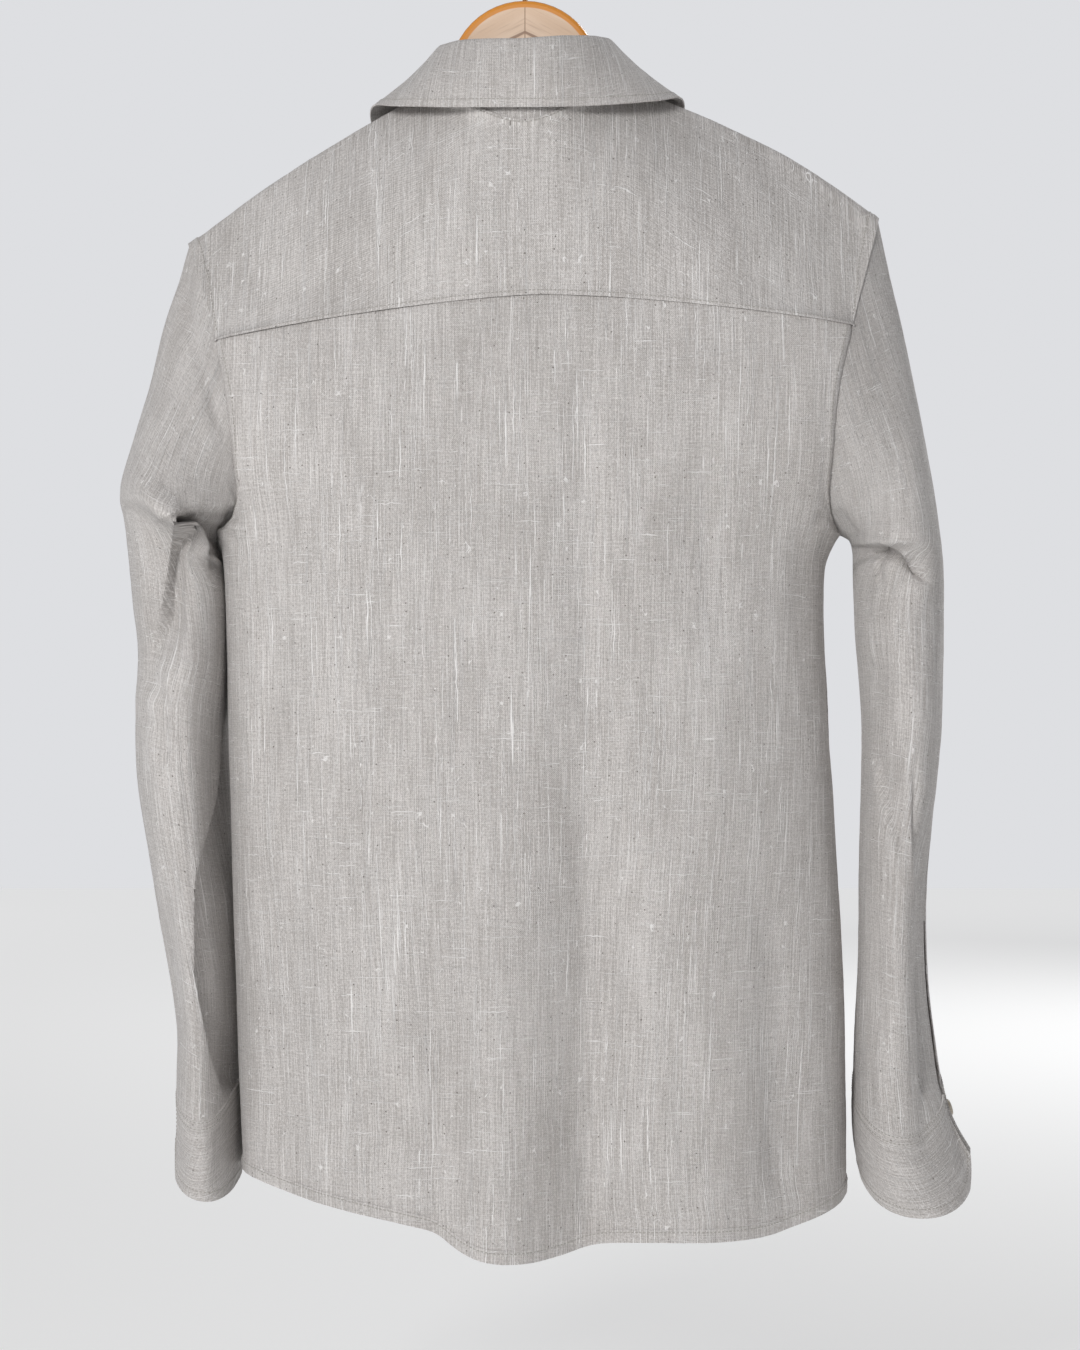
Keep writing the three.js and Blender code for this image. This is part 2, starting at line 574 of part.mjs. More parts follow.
// A front, from the front yoke seam to the hem, zip edge to side seam
function frontSheet(side, yokeEdge) {
  const sign = side === 'left' ? 1 : -1;
  const topOfZip = ringPoint(NECK_RING, NECK_AT_ZIP).z;
  const innerPoint = (row) => {
    if (row <= DOWN_NECK) {
      const angle = mix(NECK_AT_FRONT_SEAM, NECK_AT_ZIP, row / DOWN_NECK);
      return ringPoint(NECK_RING, side === 'left' ? angle : 180 - angle);
    }
    const toBand = (row - DOWN_NECK) / (bodyRows - 1 - DOWN_NECK);
    const share = row === bodyRows ? 1 : toBand * (1 - HEM_WIDTH / (topOfZip - FRONT_HEM_MIDDLE));
    const z = mix(topOfZip, FRONT_HEM_MIDDLE, share);
    return vector(sign * ZIP_HALF_GAP, frontDepth(z), z);
  };
  const pointAt = (row, i) => {
    const inner = innerPoint(row);
    const outer = edgePoint(side, 'front', row);
    const round = mix(1.3, 2.35, smooth(row / (DOWN_ARMHOLE + 3)));
    const turn = (Math.PI / 2) * (i / ACROSS_FRONT);
    const wide = Math.sin(turn) ** (2 / round);
    const deep = Math.cos(turn) ** (2 / round);
    const lower = clamp((row - DOWN_ARMHOLE) / DOWN_SIDE, 0, 1);
    const x = mix(inner.x, outer.x, wide);
    const z = mix(inner.z, outer.z, wide ** mix(1, 2.2, lower));
    const fold = foldDepth(FRONT_FOLDS, x, z) * smooth(deep * 1.6) * smooth(wide * 6);
    return vector(x, mix(outer.y, inner.y, deep) - fold, z);
  };
  const grid = Array.from({ length: bodyRows + 1 }, (_, row) => yokeEdge.map((seam, i) => {
    const meet = seam.clone().sub(pointAt(0, i)).multiplyScalar(1 - smooth(row / NECK_BLEND_ROWS));
    return row === 0 ? seam.clone() : pointAt(row, i).add(meet);
  }));
  return sheet(grid, { flip: side === 'right' });
}

// The collar's stand and fall share the columns of the neck edge, from zip to zip round the back
function neckAngles(yokeAngles) {
  const front = Array.from({ length: DOWN_NECK }, (_, i) => (
    mix(NECK_AT_ZIP, NECK_AT_FRONT_SEAM, i / DOWN_NECK)
  ));
  return [...front, ...yokeAngles, ...front.map((angle) => 180 - angle).reverse()];
}

function standSheet(angles) {
  const grid = STAND_ROWS.map(({ rise, lean }) => angles.map((angle) => {
    const low = ringPoint(NECK_RING, angle);
    const high = ringPoint(FOLD_RING, angle);
    return vector(mix(low.x, high.x, lean), mix(low.y, high.y, lean), mix(low.z, high.z, rise));
  }));
  return sheet(grid);
}

// The fall starts above the top of the stand, turns over it and spreads to its own edge
function fallSheet(angles) {
  const edge = ['x', 'y', 'z'].map((column) => reader(FALL_EDGE, 'angle', column));
  const grid = Array.from({ length: FALL_ROLL.length + FALL_SHARES.length }, () => []);
  angles.forEach((angle) => {
    const turn = mirrored(angle);
    const side = Math.cos(turn * RADIANS) ** 2;
    const end = vector(edge[0](turn), edge[1](turn), edge[2](turn));
    if (angle > 90) {
      end.x *= -mix(1, FALL_RIGHT.widen, side);
      end.z += FALL_RIGHT.raise * side;
    }
    const fold = ringPoint(FOLD_RING, angle);
    const along = ringPoint(FOLD_RING, angle + 1).sub(ringPoint(FOLD_RING, angle - 1)).normalize();
    const up = fold.clone().sub(ringPoint(NECK_RING, angle));
    up.addScaledVector(along, -up.dot(along)).normalize();
    const out = along.clone().cross(up);
    const line = FALL_ROLL.map((step) => (
      fold.clone().addScaledVector(out, step.away).addScaledVector(up, step.up)
    ));
    FALL_SHARES.forEach((share) => {
      const bow = FALL_BOW * Math.sin(Math.PI * share);
      line.push(mixPoints(line[FALL_ROLL.length - 1], end, share).addScaledVector(out, bow));
    });
    line.forEach((p, j) => grid[j].push(p));
  });
  return sheet(grid);
}

// A sleeve's rings run from the front end of the yoke over the outer side to the back and round
const RING_SIZE = OVER_SHOULDER + 2 * DOWN_ARMHOLE;
function ringTurns() {
  const turns = [];
  for (let i = 0; i < RING_SIZE; i += 1) {
    if (i <= OVER_SHOULDER) turns.push(mix(-48, 48, i / OVER_SHOULDER));
    else if (i <= OVER_SHOULDER + DOWN_ARMHOLE) turns.push(mix(48, 180, (i - OVER_SHOULDER) / DOWN_ARMHOLE));
    else turns.push(mix(180, 312, (i - OVER_SHOULDER - DOWN_ARMHOLE) / DOWN_ARMHOLE));
  }
  return turns;
}

// The point of a sleeve's ring at a turn: 0 is the outer end, 90 the back and 180 the inner end
function sleevePoint(row, turn) {
  const outer = vector(row.outerX, 0, row.outerZ);
  const inner = vector(row.innerX, row.innerY, row.innerZ);
  const cosine = Math.cos(turn * RADIANS);
  const sine = Math.sin(turn * RADIANS);
  const wide = Math.sign(cosine) * Math.abs(cosine) ** SLEEVE_ROUND;
  const point = mixPoints(inner, outer, (1 + wide) / 2);
  const reach = sine > 0 ? row.back - point.y : row.front - point.y;
  point.y += reach * Math.abs(sine) ** SLEEVE_ROUND;
  point.z -= row.tilt * sine;
  return point;
}

// How far the folds push the sleeve out at a ring and a turn
function sleeveFold(folds, ring, turn, girth) {
  return folds.reduce((sum, fold) => {
    const along = (ring - fold.fromRing) / (fold.toRing - fold.fromRing);
    const rise = smooth((along + 0.15) / 0.35) * (fold.toRing > 16 ? 1 : smooth((1.15 - along) / 0.35));
    const centre = mix(fold.fromTurn, fold.toTurn, clamp(along, 0, 1));
    const away = ((turn - centre + 540) % 360) - 180;
    const across = (away / 360) * girth / fold.width;
    return sum + fold.depth * rise * Math.exp(-across * across);
  }, 0);
}

function sleeveSheet(side) {
  const edges = armholes[side];
  const first = [edges.yoke, edges.back, [...edges.front].reverse()].flatMap((edge) => edge.slice(0, -1));
  const turns = ringTurns();
  const tip = ARMHOLE[side][SEAM_PLACES.tip];
  const pit = ARMHOLE[side][SEAM_PLACES.armpit];
  const ends = { outerX: tip.x, outerZ: tip.z, innerX: pit.x, innerY: 0, innerZ: pit.z };
  const start = { ...ends, ...SLEEVE.start, tilt: 0 };
  const rings = [start, ...SLEEVE[side]];
  const grid = rings.map((row, ring) => turns.map((turn, i) => {
    if (ring === 0) return first[i].clone();
    const blend = smooth(1 - ring / SLEEVE_HEAD_RINGS);
    const offset = first[i].clone().sub(sleevePoint(start, turn)).multiplyScalar(blend);
    const open = slitTurn(i, ring, rings.length - 1, turn);
    const point = sleevePoint(row, open).add(offset);
    const centre = vector((row.outerX + row.innerX) / 2, (row.back + row.front) / 2, point.z);
    const girth = GIRTH_FACTOR * ((row.back - row.front) / 2 + Math.abs(row.outerX - row.innerX) / 2);
    const push = sleeveFold(SLEEVE_FOLDS[side], ring, (open + 360) % 360, girth);
    return point.addScaledVector(point.clone().sub(centre).setZ(0).normalize(), push);
  }));
  return sheet(grid, { closed: true, flip: side === 'right' });
}

// Moves the two columns beside the slit, so that it is narrow at its top and wide at the cuff
function slitTurn(column, ring, lastRing, turn) {
  const share = clamp((ring - (lastRing - SLIT.rings)) / SLIT.rings, 0, 1);
  const half = mix(SLIT.highGap, SLIT.lowGap, share) / 2;
  const drawn = smooth((ring / lastRing) * 1.6);
  if (column === SLIT.cell) return mix(turn, SLIT.middle - half, drawn);
  if (column === SLIT.cell + 1) return mix(turn, SLIT.middle + half, drawn);
  return turn;
}

// A cuff follows the sleeve's last ring from one side of the slit round to the other
function cuffSheet(side, sleeve) {
  const last = sleeve.grid[sleeve.grid.length - 1];
  const top = [];
  for (let i = 1; i <= RING_SIZE; i += 1) top.push(last[(SLIT.cell + i) % RING_SIZE].clone());
  const turns = ringTurns();
  const grid = Array.from({ length: CUFF_ROWS + 1 }, (_, j) => top.map((p, i) => {
    const column = (SLIT.cell + 1 + i) % RING_SIZE;
    const turn = slitTurn(column, SLEEVE[side].length, SLEEVE[side].length, turns[column]);
    const low = sleevePoint(CUFF[side], turn);
    const end = Math.min(i, top.length - 1 - i);
    low.z += end === 0 ? CUFF_CORNER : 0;
    const share = j / CUFF_ROWS;
    const outward = vector((p.x - low.x) / 2, Math.sign(p.y), 0).normalize();
    return mixPoints(p, low, share).addScaledVector(outward, CUFF_BELLY * Math.sin(Math.PI * share));
  }));
  return sheet(grid, { flip: side === 'right' });
}

// Materials, with the colours of washed slub linen, oiled wood and brushed metal
const cloth = new THREE.MeshStandardMaterial({ color: 0xbab6b2, roughness: 0.95, metalness: 0 });
const tapeCloth = new THREE.MeshStandardMaterial({ color: 0xa8a39d, roughness: 0.9, metalness: 0 });
const wood = new THREE.MeshStandardMaterial({ color: 0xd4b08c, roughness: 0.5, metalness: 0 });
const shell = new THREE.MeshStandardMaterial({ color: 0xcfc6b8, roughness: 0.35, metalness: 0 });
const steel = new THREE.MeshStandardMaterial({ color: 0xb9babc, roughness: 0.3, metalness: 1 });

const shirt = new THREE.Group();
function add(name, geometry, material, parent = shirt) {
  const mesh = new THREE.Mesh(geometry, material);
  mesh.name = name;
  parent.add(mesh);
  return mesh;
}

// Cloth panels
const back = backSheet();
const { yoke, angles: yokeAngles } = yokeSheet(back);
const fronts = {
  left: frontSheet('left', yoke.grid.map((row) => row[0])),
  right: frontSheet('right', yoke.grid.map((row) => row[row.length - 1])),
};
const collarAngles = neckAngles(yokeAngles);
const stand = standSheet(collarAngles);
const fall = fallSheet(collarAngles);
const sleeves = { left: sleeveSheet('left'), right: sleeveSheet('right') };
const cuffs = { left: cuffSheet('left', sleeves.left), right: cuffSheet('right', sleeves.right) };
shareNormals([back, yoke, stand, ...[fronts, sleeves, cuffs].flatMap((pair) => Object.values(pair))]);

drawBack(back, ['top', 'first', 'last']);
drawBack(yoke, ['top', 'bottom', 'first', 'last']);
drawBack(stand, ['bottom']);
['left', 'right'].forEach((side) => {
  drawBack(fronts[side], ['top', 'last']);
  drawBack(sleeves[side], ['top', 'bottom']);
  drawBack(cuffs[side], ['top']);
});

const hemBand = (row) => (row >= bodyRows - 1 ? HEM_PROUD : 0);
add('back', wall(back, { proud: hemBand }), cloth);
add('front_left', wall(fronts.left, { proud: hemBand }), cloth);
add('front_right', wall(fronts.right, { proud: hemBand }), cloth);
add('back_yoke', wall(yoke), cloth);
add('collar_stand', wall(stand), cloth);
add('collar_fall', wall(fall), cloth);
['left', 'right'].forEach((side) => {
  const slitFrom = sleeves[side].grid.length - 1 - SLIT.rings;
  add(`sleeve_${side}`, wall(sleeves[side], { keep: (j, i) => !(i === SLIT.cell && j >= slitFrom) }), cloth);
  add(`cuff_${side}`, wall(cuffs[side], { thickness: CUFF_WALL }), cloth);
});

// Buttons: a disc on the outside of a cuff, square to the cloth
['left', 'right'].forEach((side) => {
  const { grid, normals } = cuffs[side];
  const column = grid[0].length - BUTTON.fromEnd;
  const normal = normals[BUTTON.row][column];
  const profile = [
    new THREE.Vector2(0, 0),
    new THREE.Vector2(BUTTON.radius - BUTTON.round, 0),
    new THREE.Vector2(BUTTON.radius, BUTTON.round),
    new THREE.Vector2(BUTTON.radius, BUTTON.thickness - BUTTON.round),
    new THREE.Vector2(BUTTON.radius - BUTTON.round, BUTTON.thickness),
    new THREE.Vector2(0, BUTTON.thickness),
  ];
  const turned = new THREE.LatheGeometry(profile, BUTTON.sides);
  turned.deleteAttribute('uv').deleteAttribute('normal');
  const disc = mergeVertices(turned, 1e-4);
  disc.computeVertexNormals();
  const button = add(`button_${side}`, disc, shell);
  button.quaternion.setFromUnitVectors(vector(0, 1, 0), normal);
  button.position.copy(grid[BUTTON.row][column]).addScaledVector(normal, CUFF_WALL / 2 + BUTTON.gap);
});

// The hanger's top edge runs just under the ridge of the yoke on each side, and rises to a dome.
// Under each row of the yoke it lies as high as its whole thickness allows.
function armTop(side) {
  const columns = yoke.grid[0].length;
  const flatTop = HANGER.thickness / 2 - HANGER.round;
  const rows = yoke.grid.map((row) => row
    .filter((_, k) => (side === 'left' ? k <= OVER_SHOULDER : columns - 1 - k <= OVER_SHOULDER))
    .map(({ x, y, z }) => ({ x, y, z })));
  const at = (row, y) => ['x', 'z'].map((column) => reader(row, 'y', column)(y));
  const ends = [rows[0], rows[rows.length - 1]].map((row) => at(row, 0));
  const slope = (ends[1][1] - ends[0][1]) / (ends[1][0] - ends[0][0]);
  return rows.map((row) => {
    const [ridgeX] = at(row, 0);
    const heightAt = (y) => {
      const [x, z] = at(row, y);
      return z + slope * (ridgeX - x);
    };
    const tops = [-flatTop, 0, flatTop].map(heightAt);
    const sides = [-1, 1].map((sign) => heightAt(sign * HANGER.thickness / 2) + HANGER.round);
    return new THREE.Vector2(ridgeX, Math.min(...tops, ...sides) - HANGER.under);
  });
}
function hangerShape() {
  const trim = (line) => {
    const at = HANGER_ARM.ends * (line.length - 1);
    const whole = Math.floor(at);
    return [...line.slice(0, whole + 1), line[whole].clone().lerp(line[whole + 1], at - whole)];
  };
  const neckGap = (p, j) => new THREE.Vector2(p.x, p.y - (j < 2 ? HANGER.neckDrop : 0));
  const left = trim(armTop('left')).map(neckGap);
  const right = trim(armTop('right')).map(neckGap);
  const under = (top) => top.slice(2).reverse().map((p, k) => {
    const share = smooth((3 * k) / (top.length - 3));
    const inward = Math.sign(p.x) * HANGER_ARM.lean * (1 - 0.7 * share);
    return new THREE.Vector2(p.x - inward, p.y - mix(HANGER_ARM.endDepth, HANGER_ARM.depth, share));
  });
  const roundEnd = (from, to) => Array.from({ length: 5 }, (_, k) => {
    const turn = (Math.PI * (k + 1)) / 6;
    const middle = from.clone().lerp(to, 0.5);
    const radius = from.clone().sub(middle);
    return middle.add(radius.rotateAround(new THREE.Vector2(0, 0), -turn));
  });
  const dome = Array.from({ length: 25 }, (_, k) => {
    const turn = Math.PI * (1 - k / 24);
    return new THREE.Vector2(
      HANGER.domeRadius * Math.cos(turn),
      HANGER.domeMiddle + HANGER.domeRadius * Math.sin(turn),
    );
  });
  const underLeft = under(left);
  const underRight = under(right).reverse();
  return new THREE.Shape([
    ...dome,
    ...left,
    ...roundEnd(left[left.length - 1], underLeft[0]),
    ...underLeft,
    new THREE.Vector2(HANGER_ARM.crotchHalf, HANGER_ARM.crotch + HANGER_ARM.crotchRise),
    new THREE.Vector2(0, HANGER_ARM.crotch),
    new THREE.Vector2(-HANGER_ARM.crotchHalf, HANGER_ARM.crotch + HANGER_ARM.crotchRise),
    ...underRight,
    ...roundEnd(underRight[underRight.length - 1], right[right.length - 1]),
    ...[...right].reverse(),
  ]);
}
const board = new THREE.ExtrudeGeometry(hangerShape(), {
  depth: HANGER.thickness - 2 * HANGER.round,
  bevelEnabled: true,
  bevelThickness: HANGER.round,
  bevelSize: HANGER.round,
  bevelOffset: -HANGER.round,
  bevelSegments: 2,
});
board.rotateX(Math.PI / 2);
board.translate(0, HANGER.thickness / 2 - HANGER.round, 0);
add('hanger_wood', board, wood);

// The hook: a wire round the rail, then back to the middle and down to the wood
function rod(path, radius, sides) {
  const positions = [];
  const triangles = [];
  path.forEach((p, j) => {
    const along = path[Math.min(j + 1, path.length - 1)].clone().sub(path[Math.max(j - 1, 0)]).normalize();
    const across = along.clone().cross(vector(0, 1, 0));
    for (let i = 0; i < sides; i += 1) {
      const turn = (2 * Math.PI * i) / sides;
      const spoke = across.clone().multiplyScalar(radius * Math.cos(turn)).setY(radius * Math.sin(turn));
      positions.push(...p.clone().add(spoke).toArray());
    }
  });
  const at = (j, i) => j * sides + (i % sides);
  for (let j = 0; j < path.length - 1; j += 1) {
    for (let i = 0; i < sides; i += 1) {
      triangles.push(at(j, i), at(j + 1, i + 1), at(j, i + 1), at(j, i), at(j + 1, i), at(j + 1, i + 1));
    }
  }
  const first = positions.length / 3;
  positions.push(...path[0].toArray(), ...path[path.length - 1].toArray());
  for (let i = 0; i < sides; i += 1) {
    triangles.push(first, at(0, i), at(0, i + 1));
    triangles.push(first + 1, at(path.length - 1, i + 1), at(path.length - 1, i));
  }
  const geometry = new THREE.BufferGeometry();
  geometry.setAttribute('position', new THREE.Float32BufferAttribute(positions, 3));
  geometry.setIndex(triangles);
  geometry.computeVertexNormals();
  return geometry;
}
const hookCurve = new THREE.CatmullRomCurve3([
  ...[205, 180, 155, 130, 105, 90, 75, 50, 25, 0, -25, -45].map((degrees) => vector(
    HOOK.bend * Math.cos(degrees * RADIANS),
    0,
    HOOK.wire + HOOK.bend * (Math.sin(degrees * RADIANS) - 1),
  )),
  vector(HOOK.swanOut, 0, HOOK.swanDown + HOOK.swanRise),
  vector(0, 0, HOOK.swanDown),
  vector(0, 0, HANGER.domeMiddle + HANGER.domeRadius + HOOK.gap),
], false, 'centripetal');
add('hanger_hook', rod(hookCurve.getSpacedPoints(HOOK.rows), HOOK.wire, HOOK.sides), steel);

// The zip's tapes and chain follow the edges of the fronts
function besideZip(side, x, setIn, row) {
  const { grid, normals } = fronts[side];
  const sign = side === 'left' ? 1 : -1;
  const [edge, next] = grid[row];
  const share = (sign * x - edge.x) / (next.x - edge.x);
  return mixPoints(edge, next, share).addScaledVector(normals[row][0], -setIn);
}
const zipRows = [];
for (let row = DOWN_NECK; row < bodyRows; row += 1) zipRows.push(row);
const tapeSetIn = CLOTH / 2 + TAPE.gap + TAPE.wall / 2;
['left', 'right'].forEach((side) => {
  const columns = [TAPE.inner, mix(TAPE.inner, TAPE.outer, 0.4), TAPE.outer];
  const grid = zipRows.map((row) => columns.map((x) => besideZip(side, x, tapeSetIn, row)));
  const tape = sheet(grid, { flip: side === 'right' });
  add(`zip_tape_${side}`, wall(tape, { thickness: TAPE.wall }), tapeCloth);
});
const chainRow = (row) => {
  const left = besideZip('left', CHAIN.halfWidth, CHAIN.setIn, row);
  return [left, left.clone().setX(-CHAIN.halfWidth)];
};
const chainLine = zipRows.map(chainRow);
const onZip = (z) => {
  const below = chainLine.findIndex(([p]) => p.z < z);
  const [a, b] = [chainLine[below - 1], chainLine[below]];
  const share = (a[0].z - z) / (a[0].z - b[0].z);
  return [mixPoints(a[0], b[0], share), mixPoints(a[1], b[1], share)];
};
const belowSlider = chainLine.filter(([p]) => p.z < SLIDER_Z - SLIDER.half / 3);
const chainGrid = [onZip(SLIDER_Z + CHAIN.aboveSlider), ...belowSlider];
add('zip_chain', wall(sheet(chainGrid), { thickness: CHAIN.wall }), steel);

// The slider and its pull stand in a frame whose -Y faces out of the front and whose Z runs up the zip
const manifold = await Module();
manifold.setup();
function fuse(boxes) {
  const solids = boxes.map(({ from, to }) => manifold.Manifold
    .cube([to[0] - from[0], to[1] - from[1], to[2] - from[2]])
    .translate(from));
  const { vertProperties, triVerts } = manifold.Manifold.union(solids).getMesh();
  const geometry = new THREE.BufferGeometry();
  geometry.setAttribute('position', new THREE.Float32BufferAttribute(vertProperties, 3));
  geometry.setIndex(Array.from(triVerts));
  return geometry;
}
const [zipHere] = onZip(SLIDER_Z);
const [zipBelow] = onZip(SLIDER_Z - 20);
const zipFrame = new THREE.Group();
zipFrame.position.set(0, zipHere.y - CHAIN.setIn, SLIDER_Z);
zipFrame.rotation.x = Math.atan2(zipBelow.y - zipHere.y, zipHere.z - zipBelow.z);
shirt.add(zipFrame);

const plateFace = SLIDER.front - SLIDER.plate;
const bailTop = plateFace - BAIL.clear - BAIL.leg;
const legs = [-BAIL.half, BAIL.half - BAIL.leg].map((z) => (
  { from: [-BAIL.halfWidth, bailTop, z], to: [BAIL.halfWidth, plateFace + SLIDER.overlap, z + BAIL.leg] }
));
const plates = [plateFace, SLIDER.back].map((y) => (
  { from: [-SLIDER.halfWidth, y, -SLIDER.half], to: [SLIDER.halfWidth, y + SLIDER.plate, SLIDER.half] }
));
const web = {
  from: [-SLIDER.halfWeb, SLIDER.front - SLIDER.overlap, SLIDER.webFrom],
  to: [SLIDER.halfWeb, SLIDER.back + SLIDER.overlap, SLIDER.webTo],
};
add('zip_slider', fuse([
  ...plates,
  web,
  ...legs,
  { from: [-BAIL.halfWidth, bailTop, -BAIL.half], to: [BAIL.halfWidth, bailTop + BAIL.leg, BAIL.half] },
]), steel, zipFrame);

// The pull hangs from a bar under the bail. Its outline is drawn with the bar at the origin.
const tab = new THREE.Shape();
const barHalf = PULL.bar / 2;
tab.moveTo(-PULL.half, barHalf);
const tabEnd = barHalf - PULL.long;
tab.lineTo(-PULL.endHalf, tabEnd + PULL.endRound);
tab.quadraticCurveTo(-PULL.endHalf, tabEnd, 0, tabEnd);
tab.quadraticCurveTo(PULL.endHalf, tabEnd, PULL.endHalf, tabEnd + PULL.endRound);
tab.lineTo(PULL.half, barHalf);
tab.closePath();
const slot = new THREE.Path();
slot.moveTo(-PULL.slotHalf, -barHalf);
slot.lineTo(PULL.slotHalf, -barHalf);
slot.lineTo(PULL.slotHalf, -barHalf - PULL.slotLong);
slot.lineTo(-PULL.slotHalf, -barHalf - PULL.slotLong);
slot.closePath();
tab.holes.push(slot);
const tabBody = new THREE.ExtrudeGeometry(tab, {
  depth: PULL.thickness,
  bevelEnabled: false,
  curveSegments: 8,
});
tabBody.rotateX(Math.PI / 2);
tabBody.translate(0, PULL.thickness / 2, 0);
const pull = add('zip_pull', tabBody, steel, zipFrame);
pull.position.set(0, plateFace - BAIL.clear / 2, PULL.barZ);

export default shirt;
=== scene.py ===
# %% [markdown]
# # A zip-front linen shirt on a wooden hanger
# The shirt hangs open at the neck, hem and cuffs, and is seen from behind. Every cut piece of cloth is a thin shell
# on the form of its CAD solid, at a much finer mesh, with creases, sewn bands and stitches added. The zip, the
# buttons and the hanger are hard pieces. All tables here are in millimetres, and meshes are made in metres.

# %% Frame
import math

import bmesh
import bpy
import numpy as np
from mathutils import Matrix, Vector, noise


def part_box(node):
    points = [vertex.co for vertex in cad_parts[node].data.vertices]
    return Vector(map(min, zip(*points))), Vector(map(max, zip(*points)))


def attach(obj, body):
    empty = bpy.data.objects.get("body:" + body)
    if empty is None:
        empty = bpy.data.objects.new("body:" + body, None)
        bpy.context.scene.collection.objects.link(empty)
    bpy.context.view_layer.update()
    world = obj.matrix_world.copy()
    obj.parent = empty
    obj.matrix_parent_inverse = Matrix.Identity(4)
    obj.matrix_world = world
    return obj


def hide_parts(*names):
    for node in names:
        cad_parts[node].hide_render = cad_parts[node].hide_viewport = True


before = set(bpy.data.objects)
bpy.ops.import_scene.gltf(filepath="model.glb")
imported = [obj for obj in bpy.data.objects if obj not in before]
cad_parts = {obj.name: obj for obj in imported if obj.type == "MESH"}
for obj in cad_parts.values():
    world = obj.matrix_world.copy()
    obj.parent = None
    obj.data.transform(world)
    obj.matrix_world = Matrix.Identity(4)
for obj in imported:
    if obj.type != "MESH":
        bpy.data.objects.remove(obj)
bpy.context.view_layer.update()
bpy.ops.object.select_all(action="DESELECT")
MM = 0.001

# %% [markdown]
# ## The camera first
# The photograph was taken level, from behind, at about the height of the middle of the shirt. A vertical field is
# set, so the picture keeps its height whatever its width. Having the camera early also lets the creases further
# down be placed where the photograph shows them, on the plane of the hanger.

# %% Camera
CAMERA_X = -10
CAMERA_Y = 2500
CAMERA_Z = -510.3
VIEW_HEIGHT = 899.1  # millimetres that the picture's height spans in the plane of the hanger

bpy.ops.object.camera_add(
    location=(CAMERA_X * MM, CAMERA_Y * MM, CAMERA_Z * MM),
    rotation=(math.radians(90), 0, math.radians(180)),
)
camera = bpy.context.object
camera.name = "camera"
camera.data.sensor_fit = "VERTICAL"
camera.data.angle = 2 * math.atan(VIEW_HEIGHT / 2 / CAMERA_Y)
camera.data.clip_end = 60
bpy.context.scene.camera = camera


def seen_from_behind(points):
    """Where points appear on the plane of the hanger, as (x, z), for the camera behind the shirt."""
    scale = CAMERA_Y / (CAMERA_Y - points[..., 1])
    x = CAMERA_X + (points[..., 0] - CAMERA_X) * scale
    z = CAMERA_Z + (points[..., 2] - CAMERA_Z) * scale
    return x, z


# %% [markdown]
# ## The pattern
# A garment is a few curves with cloth between them: the neck, the armholes, the side seams and the hem. These are
# the same tables that the CAD solids are made from, because a shell that is finer than its solid needs the curve
# between the solid's corners too.

# %% Pattern tables
SHOULDER_CELLS = 8   # the armhole edge of the yoke, from the front seam to the back seam
ARMHOLE_CELLS = 8    # the armhole edge of the back or of a front
NECK_CELLS = 5       # the neck edge of a front
SIDE_CELLS = 12      # armpit to the hem band
BACK_CELLS = 24
BODY_ROWS = ARMHOLE_CELLS + SIDE_CELLS + 1
YOKE_COLUMNS = 2 * SHOULDER_CELLS + BACK_CELLS
HEM_WIDTH = 8

NECK_RING = {
    "half_width": 64, "half_depth": 66, "middle_y": -8,
    "heights": [(-120, -183), (-90, -200), (-60, -183), (-35, -152), (0, -119), (30, -120), (60, -138),
                (90, -149), (120, -138)],
}
FOLD_RING = {
    "half_width": 54.6, "half_depth": 58, "middle_y": -9,
    "heights": [(-120, -155), (-90, -172), (-60, -155), (-35, -124), (0, -94.5), (30, -93), (60, -95),
                (90, -97), (120, -95)],
}
NECK_TILT = 0.04
ZIP_HALF_GAP = 5
NECK_AT_ZIP = -85.5
NECK_AT_FRONT_SEAM = -35
NECK_AT_BACK_SEAM = 40
YOKE_CROWN = {"left": 5, "back": 5, "right": 9.5}
FALL_RIGHT = {"widen": 1.03, "raise": 5}
FALL_EDGE = [  # angle round the neck, then x, y, z of the collar's edge
    (-85.5, 43, -100, -236), (-68, 66, -92, -220), (-45, 88, -66, -190), (-20, 101, -30, -150),
    (5, 102, 2, -133), (35, 84, 37, -137), (62, 46, 59, -141), (90, 0, 66, -142), (118, -46, 59, -141),
]
ARMHOLE = {  # x, y, z from the front yoke seam over the shoulder, down the back and up the front
    "left": [
        (214, -31, -254), (220, -17, -234), (223, 0, -224), (217, 18, -241), (201, 44, -291),
        (193, 54, -331), (189, 53, -368), (187.5, 42.5, -393), (193, 25, -408), (204, 2, -415),
        (197, -22, -405), (189, -41, -388), (189, -51, -355), (195, -50, -315), (205, -42, -281),
    ],
    "right": [
        (-226, -31, -248), (-232, -17, -221), (-234.5, 0, -207), (-229, 18, -227), (-214, 44, -281),
        (-204, 54, -325), (-200, 53, -366), (-198, 43, -393), (-202, 25, -409), (-209, 2, -417),
        (-203, -22, -407), (-198, -41, -389), (-199, -51, -355), (-205, -50, -313), (-216, -42, -278),
    ],
}
ARMHOLE_PLACES = len(ARMHOLE["left"])
TIP_PLACE = 2   # rows of the armhole at the shoulder's tip, the back yoke seam and the armpit
BACK_PLACE = 4
PIT_PLACE = 9
SIDES = [  # z, then x of the left and of the right side seam
    (-415, 204, -209), (-440, 200, -199), (-527, 197, -200.5), (-593, 195, -204.5), (-660, 193, -208.5),
    (-727, 191, -211.5), (-793, 188.5, -213), (-850, 186, -213),
]
DEPTHS = [  # z, then y of the back and of the front
    (-200, 62, -74), (-262, 70, -82), (-330, 80, -87), (-416, 88, -90), (-530, 92, -92), (-660, 95, -94),
    (-780, 98, -96), (-890, 100, -98),
]
